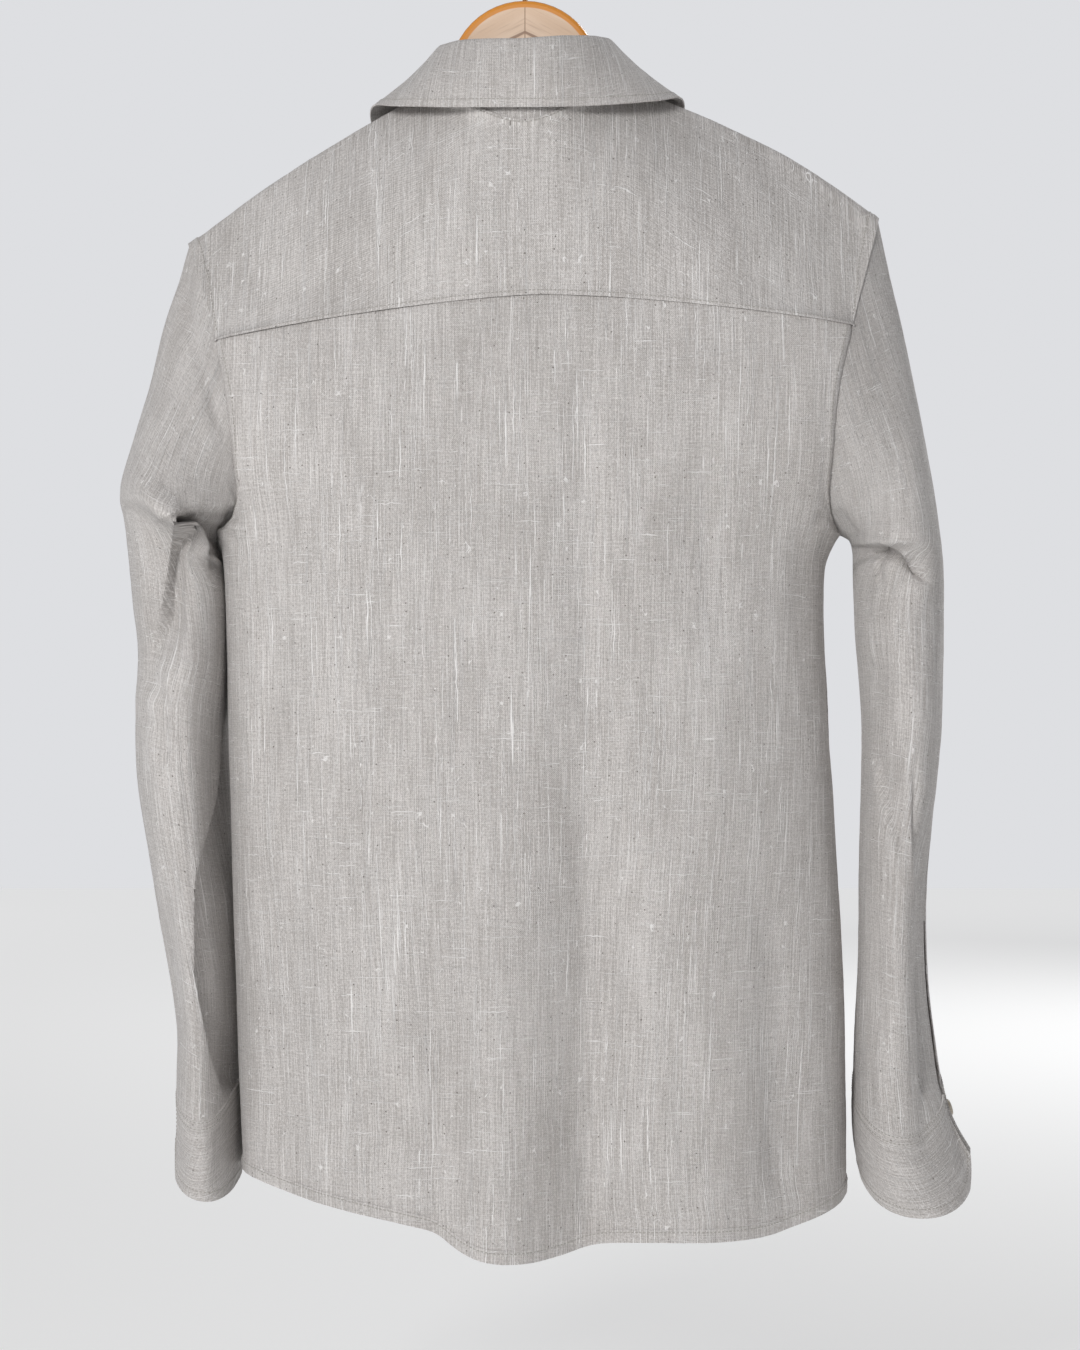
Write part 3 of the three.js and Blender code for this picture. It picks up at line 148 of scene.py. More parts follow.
SIDE_HEM = {"left": -836, "right": -850}
BACK_HEM = [  # x, then z of the hem's edge
    (-214, -850), (-206, -857), (-178, -867), (-150, -873), (-80, -874), (-46, -877), (-22, -883), (2, -886),
    (26, -884.5), (42, -878), (58, -868), (76, -863), (112, -856), (150, -848), (188, -836),
]
FRONT_HEM_MIDDLE = -872
PIT_ROW_MIDDLE = -418
YOKE_SEAM_MIDDLE = -262
BACK_FOLDS = [  # x, half-width, level where it starts, depth at the hem
    (-42, 26, -270, -19), (18, 28, -560, 10), (52, 13, -600, -7), (152, 26, -340, -9), (-118, 30, -320, 7),
    (-172, 16, -600, -5),
]
FRONT_FOLDS = [
    (72, 24, -330, -12), (128, 26, -300, 8), (-66, 24, -360, -9), (-132, 28, -300, -12),
]
SLEEVE = {  # one row a ring: outer x and z, inner x, y and z, y of the back and of the front, tilt
    "left": [
        (231, -251, 206.5, -4, -416.5, 58, -57, -4), (240, -281, 205.5, -8, -419.5, 63, -61, -1),
        (248.5, -317, 204.5, -12, -423.5, 69, -65, 2), (258, -351, 203, -15, -428.5, 75, -69, 0),
        (266, -380, 201.5, -18, -434, 84, -71, -6), (267.5, -397, 200, -20, -441, 82, -70, -12),
        (265.5, -409, 199, -27, -450, 60, -68, -14), (263, -430, 197, -28, -462, 54, -67, -8),
        (260, -462, 196.5, -28, -480, 58, -65, 0), (256.5, -494, 196.5, -28, -504, 62, -63, 0),
        (258.5, -530, 197.5, -26, -535, 60, -61, 0), (257.5, -573, 195.5, -26, -573, 60, -58, 0),
        (251, -620, 195, -27, -618, 60, -55, 2), (243, -667, 193.5, -27, -664, 59, -52, 5),
        (235, -710, 192, -26, -706, 57, -49, 10), (231, -745, 191, -24, -740, 56, -46, 16),
        (231, -780, 190, -22, -778, 55, -44, 22),
    ],
    "right": [
        (-241.5, -240, -213, 0, -418.5, 58, -57, 0), (-250, -278, -216, 0, -420.5, 63, -61, 3),
        (-258, -317, -217.5, 0, -423, 68, -65, 7), (-265, -354, -218.5, 0, -426.5, 74, -68, 4),
        (-271, -393, -219, 0, -430.5, 82, -70, 0), (-275.5, -430, -219, 0, -436, 82, -69, -9),
        (-277, -455, -219, 0, -444, 66, -68, -17), (-277.5, -474, -219.5, 0, -460, 58, -66, -10),
        (-277.5, -495, -220.5, 0, -483, 60, -64, -2), (-276.5, -522, -223, 0, -514, 62, -62, 0),
        (-275.5, -552, -225, 0, -546, 62, -60, 0), (-273, -586, -224.5, 0, -582, 61, -57, 2),
        (-270, -630, -223.5, 0, -627, 60, -54, 5), (-268, -672, -222.5, 0, -670, 59, -51, 9),
        (-269, -710, -221.5, 0, -710, 58, -48, 14), (-273, -747, -220, 0, -747, 57, -46, 20),
        (-278, -783, -219, 0, -784, 56, -44, 27),
    ],
}
SLEEVE_FOLDS = {  # first and last ring, first and last turn, half-width, depth
    "left": [(7, 10.5, 100, 60, 22, -9), (11, 17, 145, 120, 20, -8), (8, 15, 262, 250, 24, -8)],
    "right": [(9.5, 13, 140, 95, 20, -6), (12.5, 17, 45, 62, 18, -8), (8, 15, 262, 250, 24, -8)],
}
RING_CELLS = SHOULDER_CELLS + 2 * ARMHOLE_CELLS
RINGS = 17
SLIT_COLUMN = 3
SLIT_RINGS = 3
SLIT_MIDDLE = 7
SLIT_LOW_GAP = 8
SLIT_HIGH_GAP = 3
CUFF = {
    "left": (232, -836, 191, -20, -844, 55, -43, 13),
    "right": (-296, -840, -223, 0, -840, 58, -44, 24),
}
CUFF_CORNER = 16

# %% [markdown]
# ## Curves through the tables
# A table gives a few heights or depths, and the cloth needs every value between them. A Hermite curve passes
# through each row and leaves it in the direction of its neighbours, so the surface has no corners at the rows.


# %% Curves
def mix(a, b, share):
    return a + (b - a) * share


def smooth(share):
    s = np.clip(share, 0, 1)
    return s * s * (3 - 2 * s)


def neighbour_rows(count):
    """For each row of a table, the row before it and the row after it."""
    rows = np.arange(count)
    return np.maximum(rows - 1, 0), np.minimum(rows + 1, count - 1)


def hermite(values, slopes, i, s, span=1.0):
    """The curve from row i to the next, at the share s of the way."""
    here = values[i] * (1 + 2 * s) * (1 - s) ** 2 + values[i + 1] * s * s * (3 - 2 * s)
    return here + span * (slopes[i] * s * (1 - s) ** 2 - slopes[i + 1] * s * s * (1 - s))


def curve_through(rows):
    """A function of the first column of a table that gives its other columns."""
    rows = np.array(sorted(rows), float)
    keys, values = rows[:, 0], rows[:, 1:]
    before, after = neighbour_rows(len(keys))
    slopes = (values[after] - values[before]) / (keys[after] - keys[before])[:, None]

    def read(at):
        at = np.clip(np.asarray(at, float), keys[0], keys[-1])
        i = np.clip(np.searchsorted(keys, at, side="right") - 1, 0, len(keys) - 2)
        span = (keys[i + 1] - keys[i])[..., None]
        here = hermite(values, slopes, i, (at - keys[i])[..., None] / span, span)
        return here[..., 0] if here.shape[-1] == 1 else here

    return read


def ring_point(ring, angle):
    """The point of a neck ring at an angle in degrees: 0 at the wearer's left, 90 at the back."""
    angle = np.asarray(angle, float)
    turn = np.radians(angle)
    x = ring["half_width"] * np.cos(turn)
    y = ring["middle_y"] + ring["half_depth"] * np.sin(turn)
    z = curve_through(ring["heights"])(np.where(angle > 90, 180 - angle, angle)) - NECK_TILT * x
    return np.stack([x, y, z], -1)


def armhole_point(side, place):
    """The armhole's closed curve at a place that counts the rows of its table."""
    points = np.array(ARMHOLE[side], float)
    count = len(points)
    place = np.asarray(place, float) % count
    i = np.floor(place).astype(int)
    t = (place - i)[..., None]
    p0, p1, p2, p3 = (points[(i + step) % count] for step in (-1, 0, 1, 2))
    gaps = [np.sum((b - a) ** 2, -1, keepdims=True) ** 0.25 for a, b in ((p0, p1), (p1, p2), (p2, p3))]
    start = ((p1 - p0) / gaps[0] - (p2 - p0) / (gaps[0] + gaps[1]) + (p2 - p1) / gaps[1]) * gaps[1]
    end = ((p2 - p1) / gaps[1] - (p3 - p1) / (gaps[1] + gaps[2]) + (p3 - p2) / gaps[2]) * gaps[1]
    square = -3 * p1 + 3 * p2 - 2 * start - end
    cube = 2 * p1 - 2 * p2 + start + end
    return p1 + start * t + square * t**2 + cube * t**3


# %% [markdown]
# ## The surfaces of the body
# Each panel is a function of how far down and how far across it is. The back bows out between its side seams as a
# flattened oval, and the fronts do the same between the zip and the side.

# %% Body surfaces
PANEL_PLACES = {
    "yoke": (0, BACK_PLACE), "back": (BACK_PLACE, PIT_PLACE), "front": (ARMHOLE_PLACES, PIT_PLACE),
}
FOLDS_END = -860  # level at which a fold of the body is at its deepest
side_line = curve_through(SIDES)
depth_at = curve_through(DEPTHS)
back_hem = curve_through(BACK_HEM)


def row_share(row):
    """Share of the way from armpit to hem. The last row stands for the hem band."""
    band = HEM_WIDTH / (PIT_ROW_MIDDLE - SIDE_HEM["left"])
    return np.interp(row, [0, SIDE_CELLS, SIDE_CELLS + 1], [0, 1 - band, 1])


def edge_point(side, panel, row):
    """The armhole and side seam edge of the back or a front, at rows counted from its top."""
    first, last = PANEL_PLACES[panel]
    upper = armhole_point(side, mix(first, last, np.clip(row / ARMHOLE_CELLS, 0, 1)))
    pit = armhole_point(side, PIT_PLACE)
    z = mix(pit[2], SIDE_HEM[side], row_share(np.maximum(row - ARMHOLE_CELLS, 0)))
    x = side_line(z)[..., 0 if side == "left" else 1]
    lower = np.stack([x, np.full_like(z, pit[1]), z], -1)
    return np.where((row <= ARMHOLE_CELLS)[..., None], upper, lower)


def fold_depth(folds, x, z):
    total = np.zeros(np.broadcast(x, z).shape)
    for middle, width, start, depth in folds:
        grown = smooth((start - z) / (start - FOLDS_END)) ** 0.8
        total = total + depth * grown * np.exp(-(((x - middle) / width) ** 2))
    return total


def back_surface(row, across):
    """The back at rows from 0 to 21 and shares across from the left side to the right."""
    row = np.asarray(row, float)[:, None]
    turn = math.pi * np.asarray(across, float)[None, :]
    left = edge_point("left", "back", row)
    right = edge_point("right", "back", row)
    upper = np.clip(row / ARMHOLE_CELLS, 0, 1)
    lower = row_share(np.maximum(row - ARMHOLE_CELLS, 0))
    power = 2 / mix(1.9, 2.35, upper)
    wide = np.sign(np.cos(turn)) * np.abs(np.cos(turn)) ** power
    deep = np.abs(np.sin(turn)) ** power
    edge = mix(left, right, ((1 - wide) / 2)[..., None])
    middle = mix(YOKE_SEAM_MIDDLE, PIT_ROW_MIDDLE, upper)
    flat_edge = (left[..., 2] + right[..., 2]) / 2
    pit = mix(armhole_point("left", PIT_PLACE)[2], armhole_point("right", PIT_PLACE)[2], (1 - wide) / 2)
    top_z = edge[..., 2] + (middle - flat_edge) * (1 - np.abs(wide) ** 1.5)
    pit_z = pit + (PIT_ROW_MIDDLE - pit) * (1 - np.abs(wide) ** 1.5)
    z = np.where(lower > 0, mix(pit_z, back_hem(edge[..., 0]), lower), top_z)
    fold = fold_depth(BACK_FOLDS, edge[..., 0], z) * smooth(deep * 1.6)
    y = edge[..., 1] + (depth_at(z)[..., 0] - edge[..., 1]) * deep + fold
    return np.stack([edge[..., 0], y, z], -1)


def yoke_edge(column):
    """The outer edge of the yoke: left armhole, back seam, right armhole."""
    column = np.asarray(column, float)
    end = SHOULDER_CELLS + BACK_CELLS
    left = armhole_point("left", BACK_PLACE * np.clip(column / SHOULDER_CELLS, 0, 1))
    right = armhole_point("right", BACK_PLACE * np.clip((YOKE_COLUMNS - column) / SHOULDER_CELLS, 0, 1))
    seam = back_surface([0], np.clip((column - SHOULDER_CELLS) / BACK_CELLS, 0, 1))[0]
    edge = np.where((column < SHOULDER_CELLS)[:, None], left, seam)
    return np.where((column > end)[:, None], right, edge)


def yoke_angle(column):
    marks = [0, SHOULDER_CELLS, SHOULDER_CELLS + BACK_CELLS, YOKE_COLUMNS]
    return np.interp(column, marks, [
        NECK_AT_FRONT_SEAM, NECK_AT_BACK_SEAM, 180 - NECK_AT_BACK_SEAM, 180 - NECK_AT_FRONT_SEAM,
    ])


def yoke_surface(down, column):
    """The yoke at shares down from the neck, in columns round its outer edge."""
    down = np.asarray(down, float)[:, None, None]
    column = np.asarray(column, float)
    angle = yoke_angle(column)
    cosine, sine = np.cos(np.radians(angle)), np.sin(np.radians(angle))
    side = np.where(cosine > 0, YOKE_CROWN["left"], YOKE_CROWN["right"])
    crown = mix(YOKE_CROWN["back"], side, np.abs(cosine))
    outward = np.stack([np.zeros_like(sine), sine, np.full_like(sine, 0.7)], -1)
    outward /= np.linalg.norm(outward, axis=-1, keepdims=True)
    flat = mix(ring_point(NECK_RING, angle)[None], yoke_edge(column)[None], down)
    return flat + (outward * crown[:, None])[None] * np.sin(math.pi * down**1.4)


NECK_BLEND_ROWS = 6


def front_surface(side, row, across):
    """A front at rows from 0 to 21 and shares across from the zip to the side."""
    sign = 1 if side == "left" else -1
    row = np.asarray(row, float)
    across = np.asarray(across, float)
    zip_top = ring_point(NECK_RING, NECK_AT_ZIP)[2]
    angle = mix(NECK_AT_FRONT_SEAM, NECK_AT_ZIP, np.clip(row / NECK_CELLS, 0, 1))
    at_neck = ring_point(NECK_RING, angle if side == "left" else 180 - angle)
    band = HEM_WIDTH / (zip_top - FRONT_HEM_MIDDLE)
    share = np.interp(row, [NECK_CELLS, BODY_ROWS - 1, BODY_ROWS], [0, 1 - band, 1])
    z = mix(zip_top, FRONT_HEM_MIDDLE, share)
    at_zip = np.stack([np.full_like(z, sign * ZIP_HALF_GAP), depth_at(z)[..., 1], z], -1)
    inner_line = np.where((row <= NECK_CELLS)[:, None], at_neck, at_zip)

    def point_at(rows, inner):
        outer = edge_point(side, "front", rows)[:, None]
        inner = inner[:, None]
        rows = rows[:, None]
        power = 2 / mix(1.3, 2.35, smooth(rows / (ARMHOLE_CELLS + 3)))
        turn = (math.pi / 2) * across[None, :]
        wide = np.abs(np.sin(turn)) ** power
        deep = np.abs(np.cos(turn)) ** power
        lower = np.clip((rows - ARMHOLE_CELLS) / SIDE_CELLS, 0, 1)
        x = mix(inner[..., 0], outer[..., 0], wide)
        height = mix(inner[..., 2], outer[..., 2], wide ** mix(1, 2.2, lower))
        fold = fold_depth(FRONT_FOLDS, x, height) * smooth(deep * 1.6) * smooth(wide * 6)
        return np.stack([x, mix(outer[..., 1], inner[..., 1], deep) - fold, height], -1)

    seam = yoke_surface(across, [0 if side == "left" else YOKE_COLUMNS])[:, 0]
    top = point_at(np.zeros(1), inner_line[:1] if row[0] == 0 else at_neck[:1])
    meet = (seam[None] - top) * (1 - smooth(row / NECK_BLEND_ROWS))[:, None, None]
    return point_at(row, inner_line) + meet


# %% [markdown]
# ## The surfaces of the collar, the sleeves and the cuffs
# The collar is two pieces: a stand that rises from the neck seam, and a fall that turns over the stand. A sleeve is
# a tube through rings, and its first ring is the armhole itself, so it meets the body along one line.

# %% Collar, sleeve and cuff surfaces
COLLAR_COLUMNS = YOKE_COLUMNS + 2 * NECK_CELLS
FALL_ROLL = [(0, 1.15), (2.6, 1.15), (4.8, -1.4)]  # how far out of and above the fold line
FALL_SHARES = [0.22, 0.48, 0.76, 1]
FALL_BOW = 3.2         # how far the fall bows out at the back
FALL_SIDE_BOW = -2.5   # and at its sides
SLEEVE_MARKS = [0, SHOULDER_CELLS, SHOULDER_CELLS + ARMHOLE_CELLS, RING_CELLS]
SLEEVE_HEAD_RINGS = 4  # rings over which the armhole's own shape fades out
RING_ROUND = 0.94      # power of a ring's cosine and sine, a little fuller than an oval
CUFF_BELLY = 2.5


def collar_angle(column):
    column = np.asarray(column, float)
    front = mix(NECK_AT_ZIP, NECK_AT_FRONT_SEAM, np.clip(column / NECK_CELLS, 0, 1))
    far = 180 - mix(NECK_AT_ZIP, NECK_AT_FRONT_SEAM, np.clip((COLLAR_COLUMNS - column) / NECK_CELLS, 0, 1))
    middle = yoke_angle(column - NECK_CELLS)
    return np.where(column < NECK_CELLS, front, np.where(column > COLLAR_COLUMNS - NECK_CELLS, far, middle))


def stand_surface(down, column):
    down = np.asarray(down, float)[:, None, None]
    angle = collar_angle(column)
    return mix(ring_point(FOLD_RING, angle)[None], ring_point(NECK_RING, angle)[None], down)


def fall_surface(down, column):
    """The collar's fall at shares down from its fold, through the same steps as its solid."""
    angle = collar_angle(column)
    turn = np.where(angle > 90, 180 - angle, angle)
    side = np.cos(np.radians(turn)) ** 2
    end = curve_through(FALL_EDGE)(turn)
    right = angle > 90
    end[:, 0] *= np.where(right, -mix(1, FALL_RIGHT["widen"], side), 1)
    end[:, 2] += np.where(right, FALL_RIGHT["raise"] * side, 0)
    fold = ring_point(FOLD_RING, angle)
    along = ring_point(FOLD_RING, angle + 1) - ring_point(FOLD_RING, angle - 1)
    along /= np.linalg.norm(along, axis=-1, keepdims=True)
    up = fold - ring_point(NECK_RING, angle)
    up -= along * np.sum(up * along, -1, keepdims=True)
    up /= np.linalg.norm(up, axis=-1, keepdims=True)
    out = np.cross(along, up)
    steps = [fold + out * away + up * rise for away, rise in FALL_ROLL]
    for share in FALL_SHARES:
        bow = mix(FALL_BOW, FALL_SIDE_BOW, side)[:, None] * math.sin(math.pi * share)
        steps.append(mix(steps[len(FALL_ROLL) - 1], end, share) + out * bow)
    steps = np.stack(steps)
    last = len(steps) - 1
    before, after = neighbour_rows(len(steps))
    at = np.asarray(down, float) * last
    i = np.clip(np.floor(at).astype(int), 0, last - 1)
    return hermite(steps, (steps[after] - steps[before]) / 2, i, (at - i)[:, None, None])


def sleeve_turn(column):
    """Degrees round a sleeve: 0 at the outer side, 90 at the back, 180 at the inner side."""
    return np.interp(column, SLEEVE_MARKS, [-48, 48, 180, 312])


def sleeve_place(column):
    """The place on the armhole's curve that a column of the sleeve starts from."""
    return np.interp(column, SLEEVE_MARKS, [0, BACK_PLACE, PIT_PLACE, ARMHOLE_PLACES])


def slit_turn(column, ring):
    """Turns of the columns, drawn aside so that the slit above the cuff is narrow at its top."""
    share = np.clip((ring - (RINGS - SLIT_RINGS)) / SLIT_RINGS, 0, 1)
    gap = mix(SLIT_HIGH_GAP, SLIT_LOW_GAP, share)
    pull = smooth(ring / RINGS * 1.6)
    plain = sleeve_turn(column)
    marks = np.arange(SLIT_COLUMN - 1, SLIT_COLUMN + 3)
    plain_marks = sleeve_turn(marks)
    shift_first = (SLIT_MIDDLE - gap / 2 - plain_marks[1]) * pull
    shift_second = (SLIT_MIDDLE + gap / 2 - plain_marks[2]) * pull
    first = np.clip(1 - np.abs(column - marks[1]), 0, 1)
    second = np.clip(1 - np.abs(column - marks[2]), 0, 1)
    return plain + first * shift_first + second * shift_second


def ring_place(rows, turn):
    """The point of a ring, given as its table row, at a turn."""
    outer_x, outer_z, inner_x, inner_y, inner_z, back, front, tilt = np.moveaxis(rows, -1, 0)
    cosine, sine = np.cos(np.radians(turn)), np.sin(np.radians(turn))
    share = (1 + np.sign(cosine) * np.abs(cosine) ** RING_ROUND) / 2
    x = mix(inner_x, outer_x, share)
    y = mix(inner_y, 0, share)
    z = mix(inner_z, outer_z, share)
    reach = np.where(sine > 0, back - y, front - y)
    return np.stack([x, y + reach * np.abs(sine) ** RING_ROUND, z - tilt * sine], -1)


def sleeve_fold(side, ring, turn, girth):
    total = np.zeros(np.broadcast(ring, turn).shape)
    for first, last, first_turn, last_turn, width, depth in SLEEVE_FOLDS[side]:
        along = (ring - first) / (last - first)
        rise = smooth((along + 0.15) / 0.35)
        if last < RINGS:
            rise = rise * smooth((1.15 - along) / 0.35)
        middle = mix(first_turn, last_turn, np.clip(along, 0, 1))
        away = (turn - middle + 540) % 360 - 180
        total = total + depth * rise * np.exp(-((away / 360 * girth / width) ** 2))
    return total


def sleeve_surface(side, ring, column):
    """A sleeve at rings from 0 at the armhole to 17 at the cuff."""
    tip, pit = ARMHOLE[side][TIP_PLACE], ARMHOLE[side][PIT_PLACE]
    start = (tip[0], tip[2], pit[0], 0, pit[2], 54, -51, 0)
    rings = curve_through([(k, *row) for k, row in enumerate([start, *SLEEVE[side]])])
    ring = np.asarray(ring, float)[:, None]
    column = np.asarray(column, float)[None, :]
    armhole = armhole_point(side, sleeve_place(column))
    plain = ring_place(np.array(start, float)[None, None], sleeve_turn(column))
    turn = slit_turn(column, ring)
    rows = rings(ring)
    head = smooth(1 - ring / SLEEVE_HEAD_RINGS)
    point = ring_place(rows, turn) + (armhole - plain) * head[..., None]
    centre_x = (rows[..., 0] + rows[..., 2]) / 2
    centre_y = (rows[..., 5] + rows[..., 6]) / 2
    girth = 2.9 * ((rows[..., 5] - rows[..., 6]) / 2 + np.abs(rows[..., 0] - rows[..., 2]) / 2)
    out = np.stack([point[..., 0] - centre_x, point[..., 1] - centre_y, np.zeros_like(turn)], -1)
    out /= np.linalg.norm(out, axis=-1, keepdims=True)
    fold = sleeve_fold(side, ring, turn % 360, girth)
    return point + out * fold[..., None] * (ring > 0)[..., None]


def cuff_surface(side, down, column):
    """A cuff from the sleeve's last ring down, from one side of the slit round to the other."""
    column = np.asarray(column, float)
    turn = slit_turn(column % RING_CELLS, np.float64(RINGS))
    top = sleeve_surface(side, [RINGS], column % RING_CELLS)[0]
    low = ring_place(np.array(CUFF[side], float)[None], turn)
    steps = np.linalg.norm(np.diff(low, axis=0), axis=-1)
    along = np.concatenate([[0], np.cumsum(steps)])
    to_end = np.minimum(along, along[-1] - along)
    short = np.clip(CUFF_CORNER - to_end, 0, CUFF_CORNER)
    low[:, 2] += CUFF_CORNER - np.sqrt(CUFF_CORNER**2 - short**2)
    down = np.asarray(down, float)[:, None, None]
    out = np.stack([(top[:, 0] - low[:, 0]) / 2, np.sign(top[:, 1]), np.zeros(len(top))], -1)
    out /= np.linalg.norm(out, axis=-1, keepdims=True)
    return mix(top[None], low[None], down) + out[None] * CUFF_BELLY * np.sin(math.pi * down)


# %% [markdown]
# ## From a surface to cloth
# A surface is sampled as a grid, and the grid gets what a flat surface lacks: creases, puckers beside the seams,
# and the double cloth of a sewn band. Grid lines are laid at fixed distances from a seam, because a band that
# starts between two lines would have a ragged edge.

# %% Grid helpers
CLOTH = 0.7          # thickness of the linen
BAND_WIDTH = 6.8     # width of a felled seam on the body
BAND_RISE = 0.8
SEAM_MARKS = (0, 1.2, 3, 5, 6.5, 7.3, 9)


def body_rows(count):
    """Rows of the back or of a front: down the armhole, then as many as asked to the hem band, and its own."""
    band = BODY_ROWS - 1 + np.array([0.06, 0.3, 0.6, 0.85, 1])
    below = np.linspace(ARMHOLE_CELLS, BODY_ROWS - 1, count)[1:]
    return np.concatenate([np.linspace(0, ARMHOLE_CELLS, 60), below, band])


def hem_lift(rows):
    """How far each row stands out for the turned cloth of the hem."""
    return 0.8 * smooth((rows - (BODY_ROWS - 1)) / 0.06)[:, None, None]


def beside_armhole(rows):
    """1 for the rows beside the armhole, and 0 below the armpit."""
    return smooth((ARMHOLE_CELLS + 0.4 - rows) / 0.8)[:, None]


def line_lengths(grid):
    steps = np.linalg.norm(np.diff(grid, axis=1), axis=-1)
    return np.concatenate([np.zeros((len(grid), 1)), np.cumsum(steps, 1)], 1)


def respace(grid, count, first=(0,), last=(0,)):
    """Lays the columns evenly along each row, with columns at fixed distances from both ends."""
    lines = []
    for line, length in zip(grid, line_lengths(grid)):
        middle = np.linspace(first[-1], length[-1] - last[-1], count + 1)[1:-1]
        at = np.concatenate([first, middle, length[-1] - np.array(last[::-1])])
        lines.append(np.stack([np.interp(at, length, line[:, k]) for k in range(3)], -1))
    return np.array(lines)


def turned(grid):
    return np.swapaxes(grid, 0, 1)


def grid_normals(grid, flip=False, closed=False):
    if closed:
        wide = np.concatenate([grid[:, -2:-1], grid, grid[:, 1:2]], 1)
        along = wide[:, 2:] - wide[:, :-2]
    else:
        along = np.gradient(grid, axis=1)
    down = np.gradient(grid, axis=0)
    normal = np.cross(down, along)
    normal /= np.maximum(np.linalg.norm(normal, axis=-1, keepdims=True), 1e-9)
    return -normal if flip else normal


def from_edge(grid, edge):
    """Distance of each point from an edge of the grid, along the grid's lines."""
    if edge in ("first", "last"):
        length = line_lengths(grid)
        return length if edge == "first" else length[:, -1:] - length
    length = line_lengths(turned(grid)).T
    return length if edge == "top" else length[-1:] - length


def along_edge(grid, edge):
    """Distance of each point along an edge of the grid."""
    return line_lengths(turned(grid)).T if edge in ("first", "last") else line_lengths(grid)


def inset_line(grid, normals, edge, distance):
    """The line on a grid that runs at a distance from one of its edges, with its normals."""
    lines, ups = (grid, normals) if edge in ("first", "last") else (turned(grid), turned(normals))
    if edge in ("last", "bottom"):
        lines, ups = lines[:, ::-1], ups[:, ::-1]
    found = []
    for line, up, length in zip(lines, ups, line_lengths(lines)):
        found.append([np.interp(distance, length, column) for column in (*line.T, *up.T)])
    found = np.array(found)
    return found[:, :3], found[:, 3:]


def noise_at(points, size, seed):
    flat = points.reshape(-1, 3) / size + seed
    return np.array([noise.noise(Vector(p)) for p in flat]).reshape(points.shape[:-1])


def to_line(x, z, line):
    """Distance to a bent line, how far along it the nearest place is, and which side of it (+1 or -1)."""
    line = np.array(line, float)
    best = np.full(x.shape, 1e9)
    along_best, side_best = np.zeros(x.shape), np.ones(x.shape)
    start = 0.0
    for (x0, z0), (x1, z1) in zip(line[:-1], line[1:]):
        long = math.hypot(x1 - x0, z1 - z0)
        ax, az = (x1 - x0) / long, (z1 - z0) / long
        along = np.clip((x - x0) * ax + (z - z0) * az, 0, long)
        away = np.hypot(x - x0 - ax * along, z - z0 - az * along)
        side = np.where((x - x0) * az - (z - z0) * ax > 0, 1, -1)
        nearer = away < best
        best = np.where(nearer, away, best)
        along_best = np.where(nearer, start + along, along_best)
        side_best = np.where(nearer, side, side_best)
        start += long
    return best, along_best, side_best, start


def creased(grid, normals, creases, facing=1):
    """Pushes the cloth along its normals by creases placed as seen from behind (1) or from the front (-1).

    A crease is its line, half-width, depth, edge and fade at each end. With an edge, only the side on the left of
    the way along the line, in the picture, is pushed, and the push comes within that many millimetres."""
    x, z = seen_from_behind(grid)
    shown = smooth(normals[..., 1] * facing * 2.5 + 0.2)
    push = np.zeros_like(x)
    for line, width, depth, edge, fade_in, fade_out in creases:
        away, along, side, long = to_line(x, z, line)
        taper = smooth(along / max(fade_in, 0.1) + 0.05) * smooth((long - along) / max(fade_out, 0.1) + 0.05)
        if edge:
            signed = away * side
            shape = smooth(signed / edge) * np.exp(-((np.maximum(signed - edge, 0) / width) ** 2))
        else:
            shape = np.exp(-((away / width) ** 2))
        push += depth * shape * taper
    level = normals * np.array([1, 1, 0.15])
    level /= np.maximum(np.linalg.norm(level, axis=-1, keepdims=True), 0.2)
    return grid + level * (push * shown)[..., None]


def settled(grid, normals, seed, soft=0.8, fine=0.16):
    """The uneven lie of washed linen: soft swells a few centimetres long and a fine crumple."""
    push = soft * noise_at(grid * np.array([1, 1, 0.55]), 34, seed)
    push += fine * noise_at(grid, 7, seed + 3.7)
    return grid + normals * push[..., None]


def banded(grid, normals, edge, width=BAND_WIDTH, rise=BAND_RISE, pucker=0.5, only=None):
    """Raises the double cloth beside an edge, and puckers it as a seam that shrank in the wash does."""
    away = from_edge(grid, edge)
    along = along_edge(grid, edge)
    push = rise * (1 - smooth((away - width) / 0.8))
    place = np.stack([along / 3.2, away / 9, np.full_like(away, 1.7)], -1)
    push += pucker * noise_at(place, 1, 0.3) * np.exp(-((away / (width + 4)) ** 2))
    if only is not None:
        push = push * only
    return grid + normals * push[..., None]


# %% [markdown]
# ## From a grid to a mesh
# A grid becomes quads with a UV map, doubled points are joined, and Solidify gives the cloth its thickness. The
# maps are in metres along the grain, so the weave has one size on every piece.

# %% Mesh helpers
def apply_modifier(piece, kind, **settings):
    modifier = piece.modifiers.new(kind.lower(), kind)
    for name, value in settings.items():
        setattr(modifier, name, value)
    bpy.context.view_layer.objects.active = piece
    bpy.ops.object.modifier_apply(modifier=modifier.name)


def smooth_shading(piece, angle=35):
    bpy.ops.object.select_all(action="DESELECT")
    piece.select_set(True)
    bpy.context.view_layer.objects.active = piece
    bpy.ops.object.shade_smooth_by_angle(angle=math.radians(angle))
    piece.select_set(False)


def mesh_piece(name, points, faces, uv=None):
    """A mesh object from points in millimetres. uv holds metres on the cloth, one pair a point."""
    mesh = bpy.data.meshes.new(name)
    mesh.from_pydata((np.asarray(points) * MM).tolist(), [], faces)
    if uv is not None:
        layer = mesh.uv_layers.new(name="weave")
        corners = np.empty(len(mesh.loops), int)
        mesh.loops.foreach_get("vertex_index", corners)
        layer.data.foreach_set("uv", np.asarray(uv)[corners].ravel())
    piece = bpy.data.objects.new(name, mesh)
    bpy.context.scene.collection.objects.link(piece)
    return piece


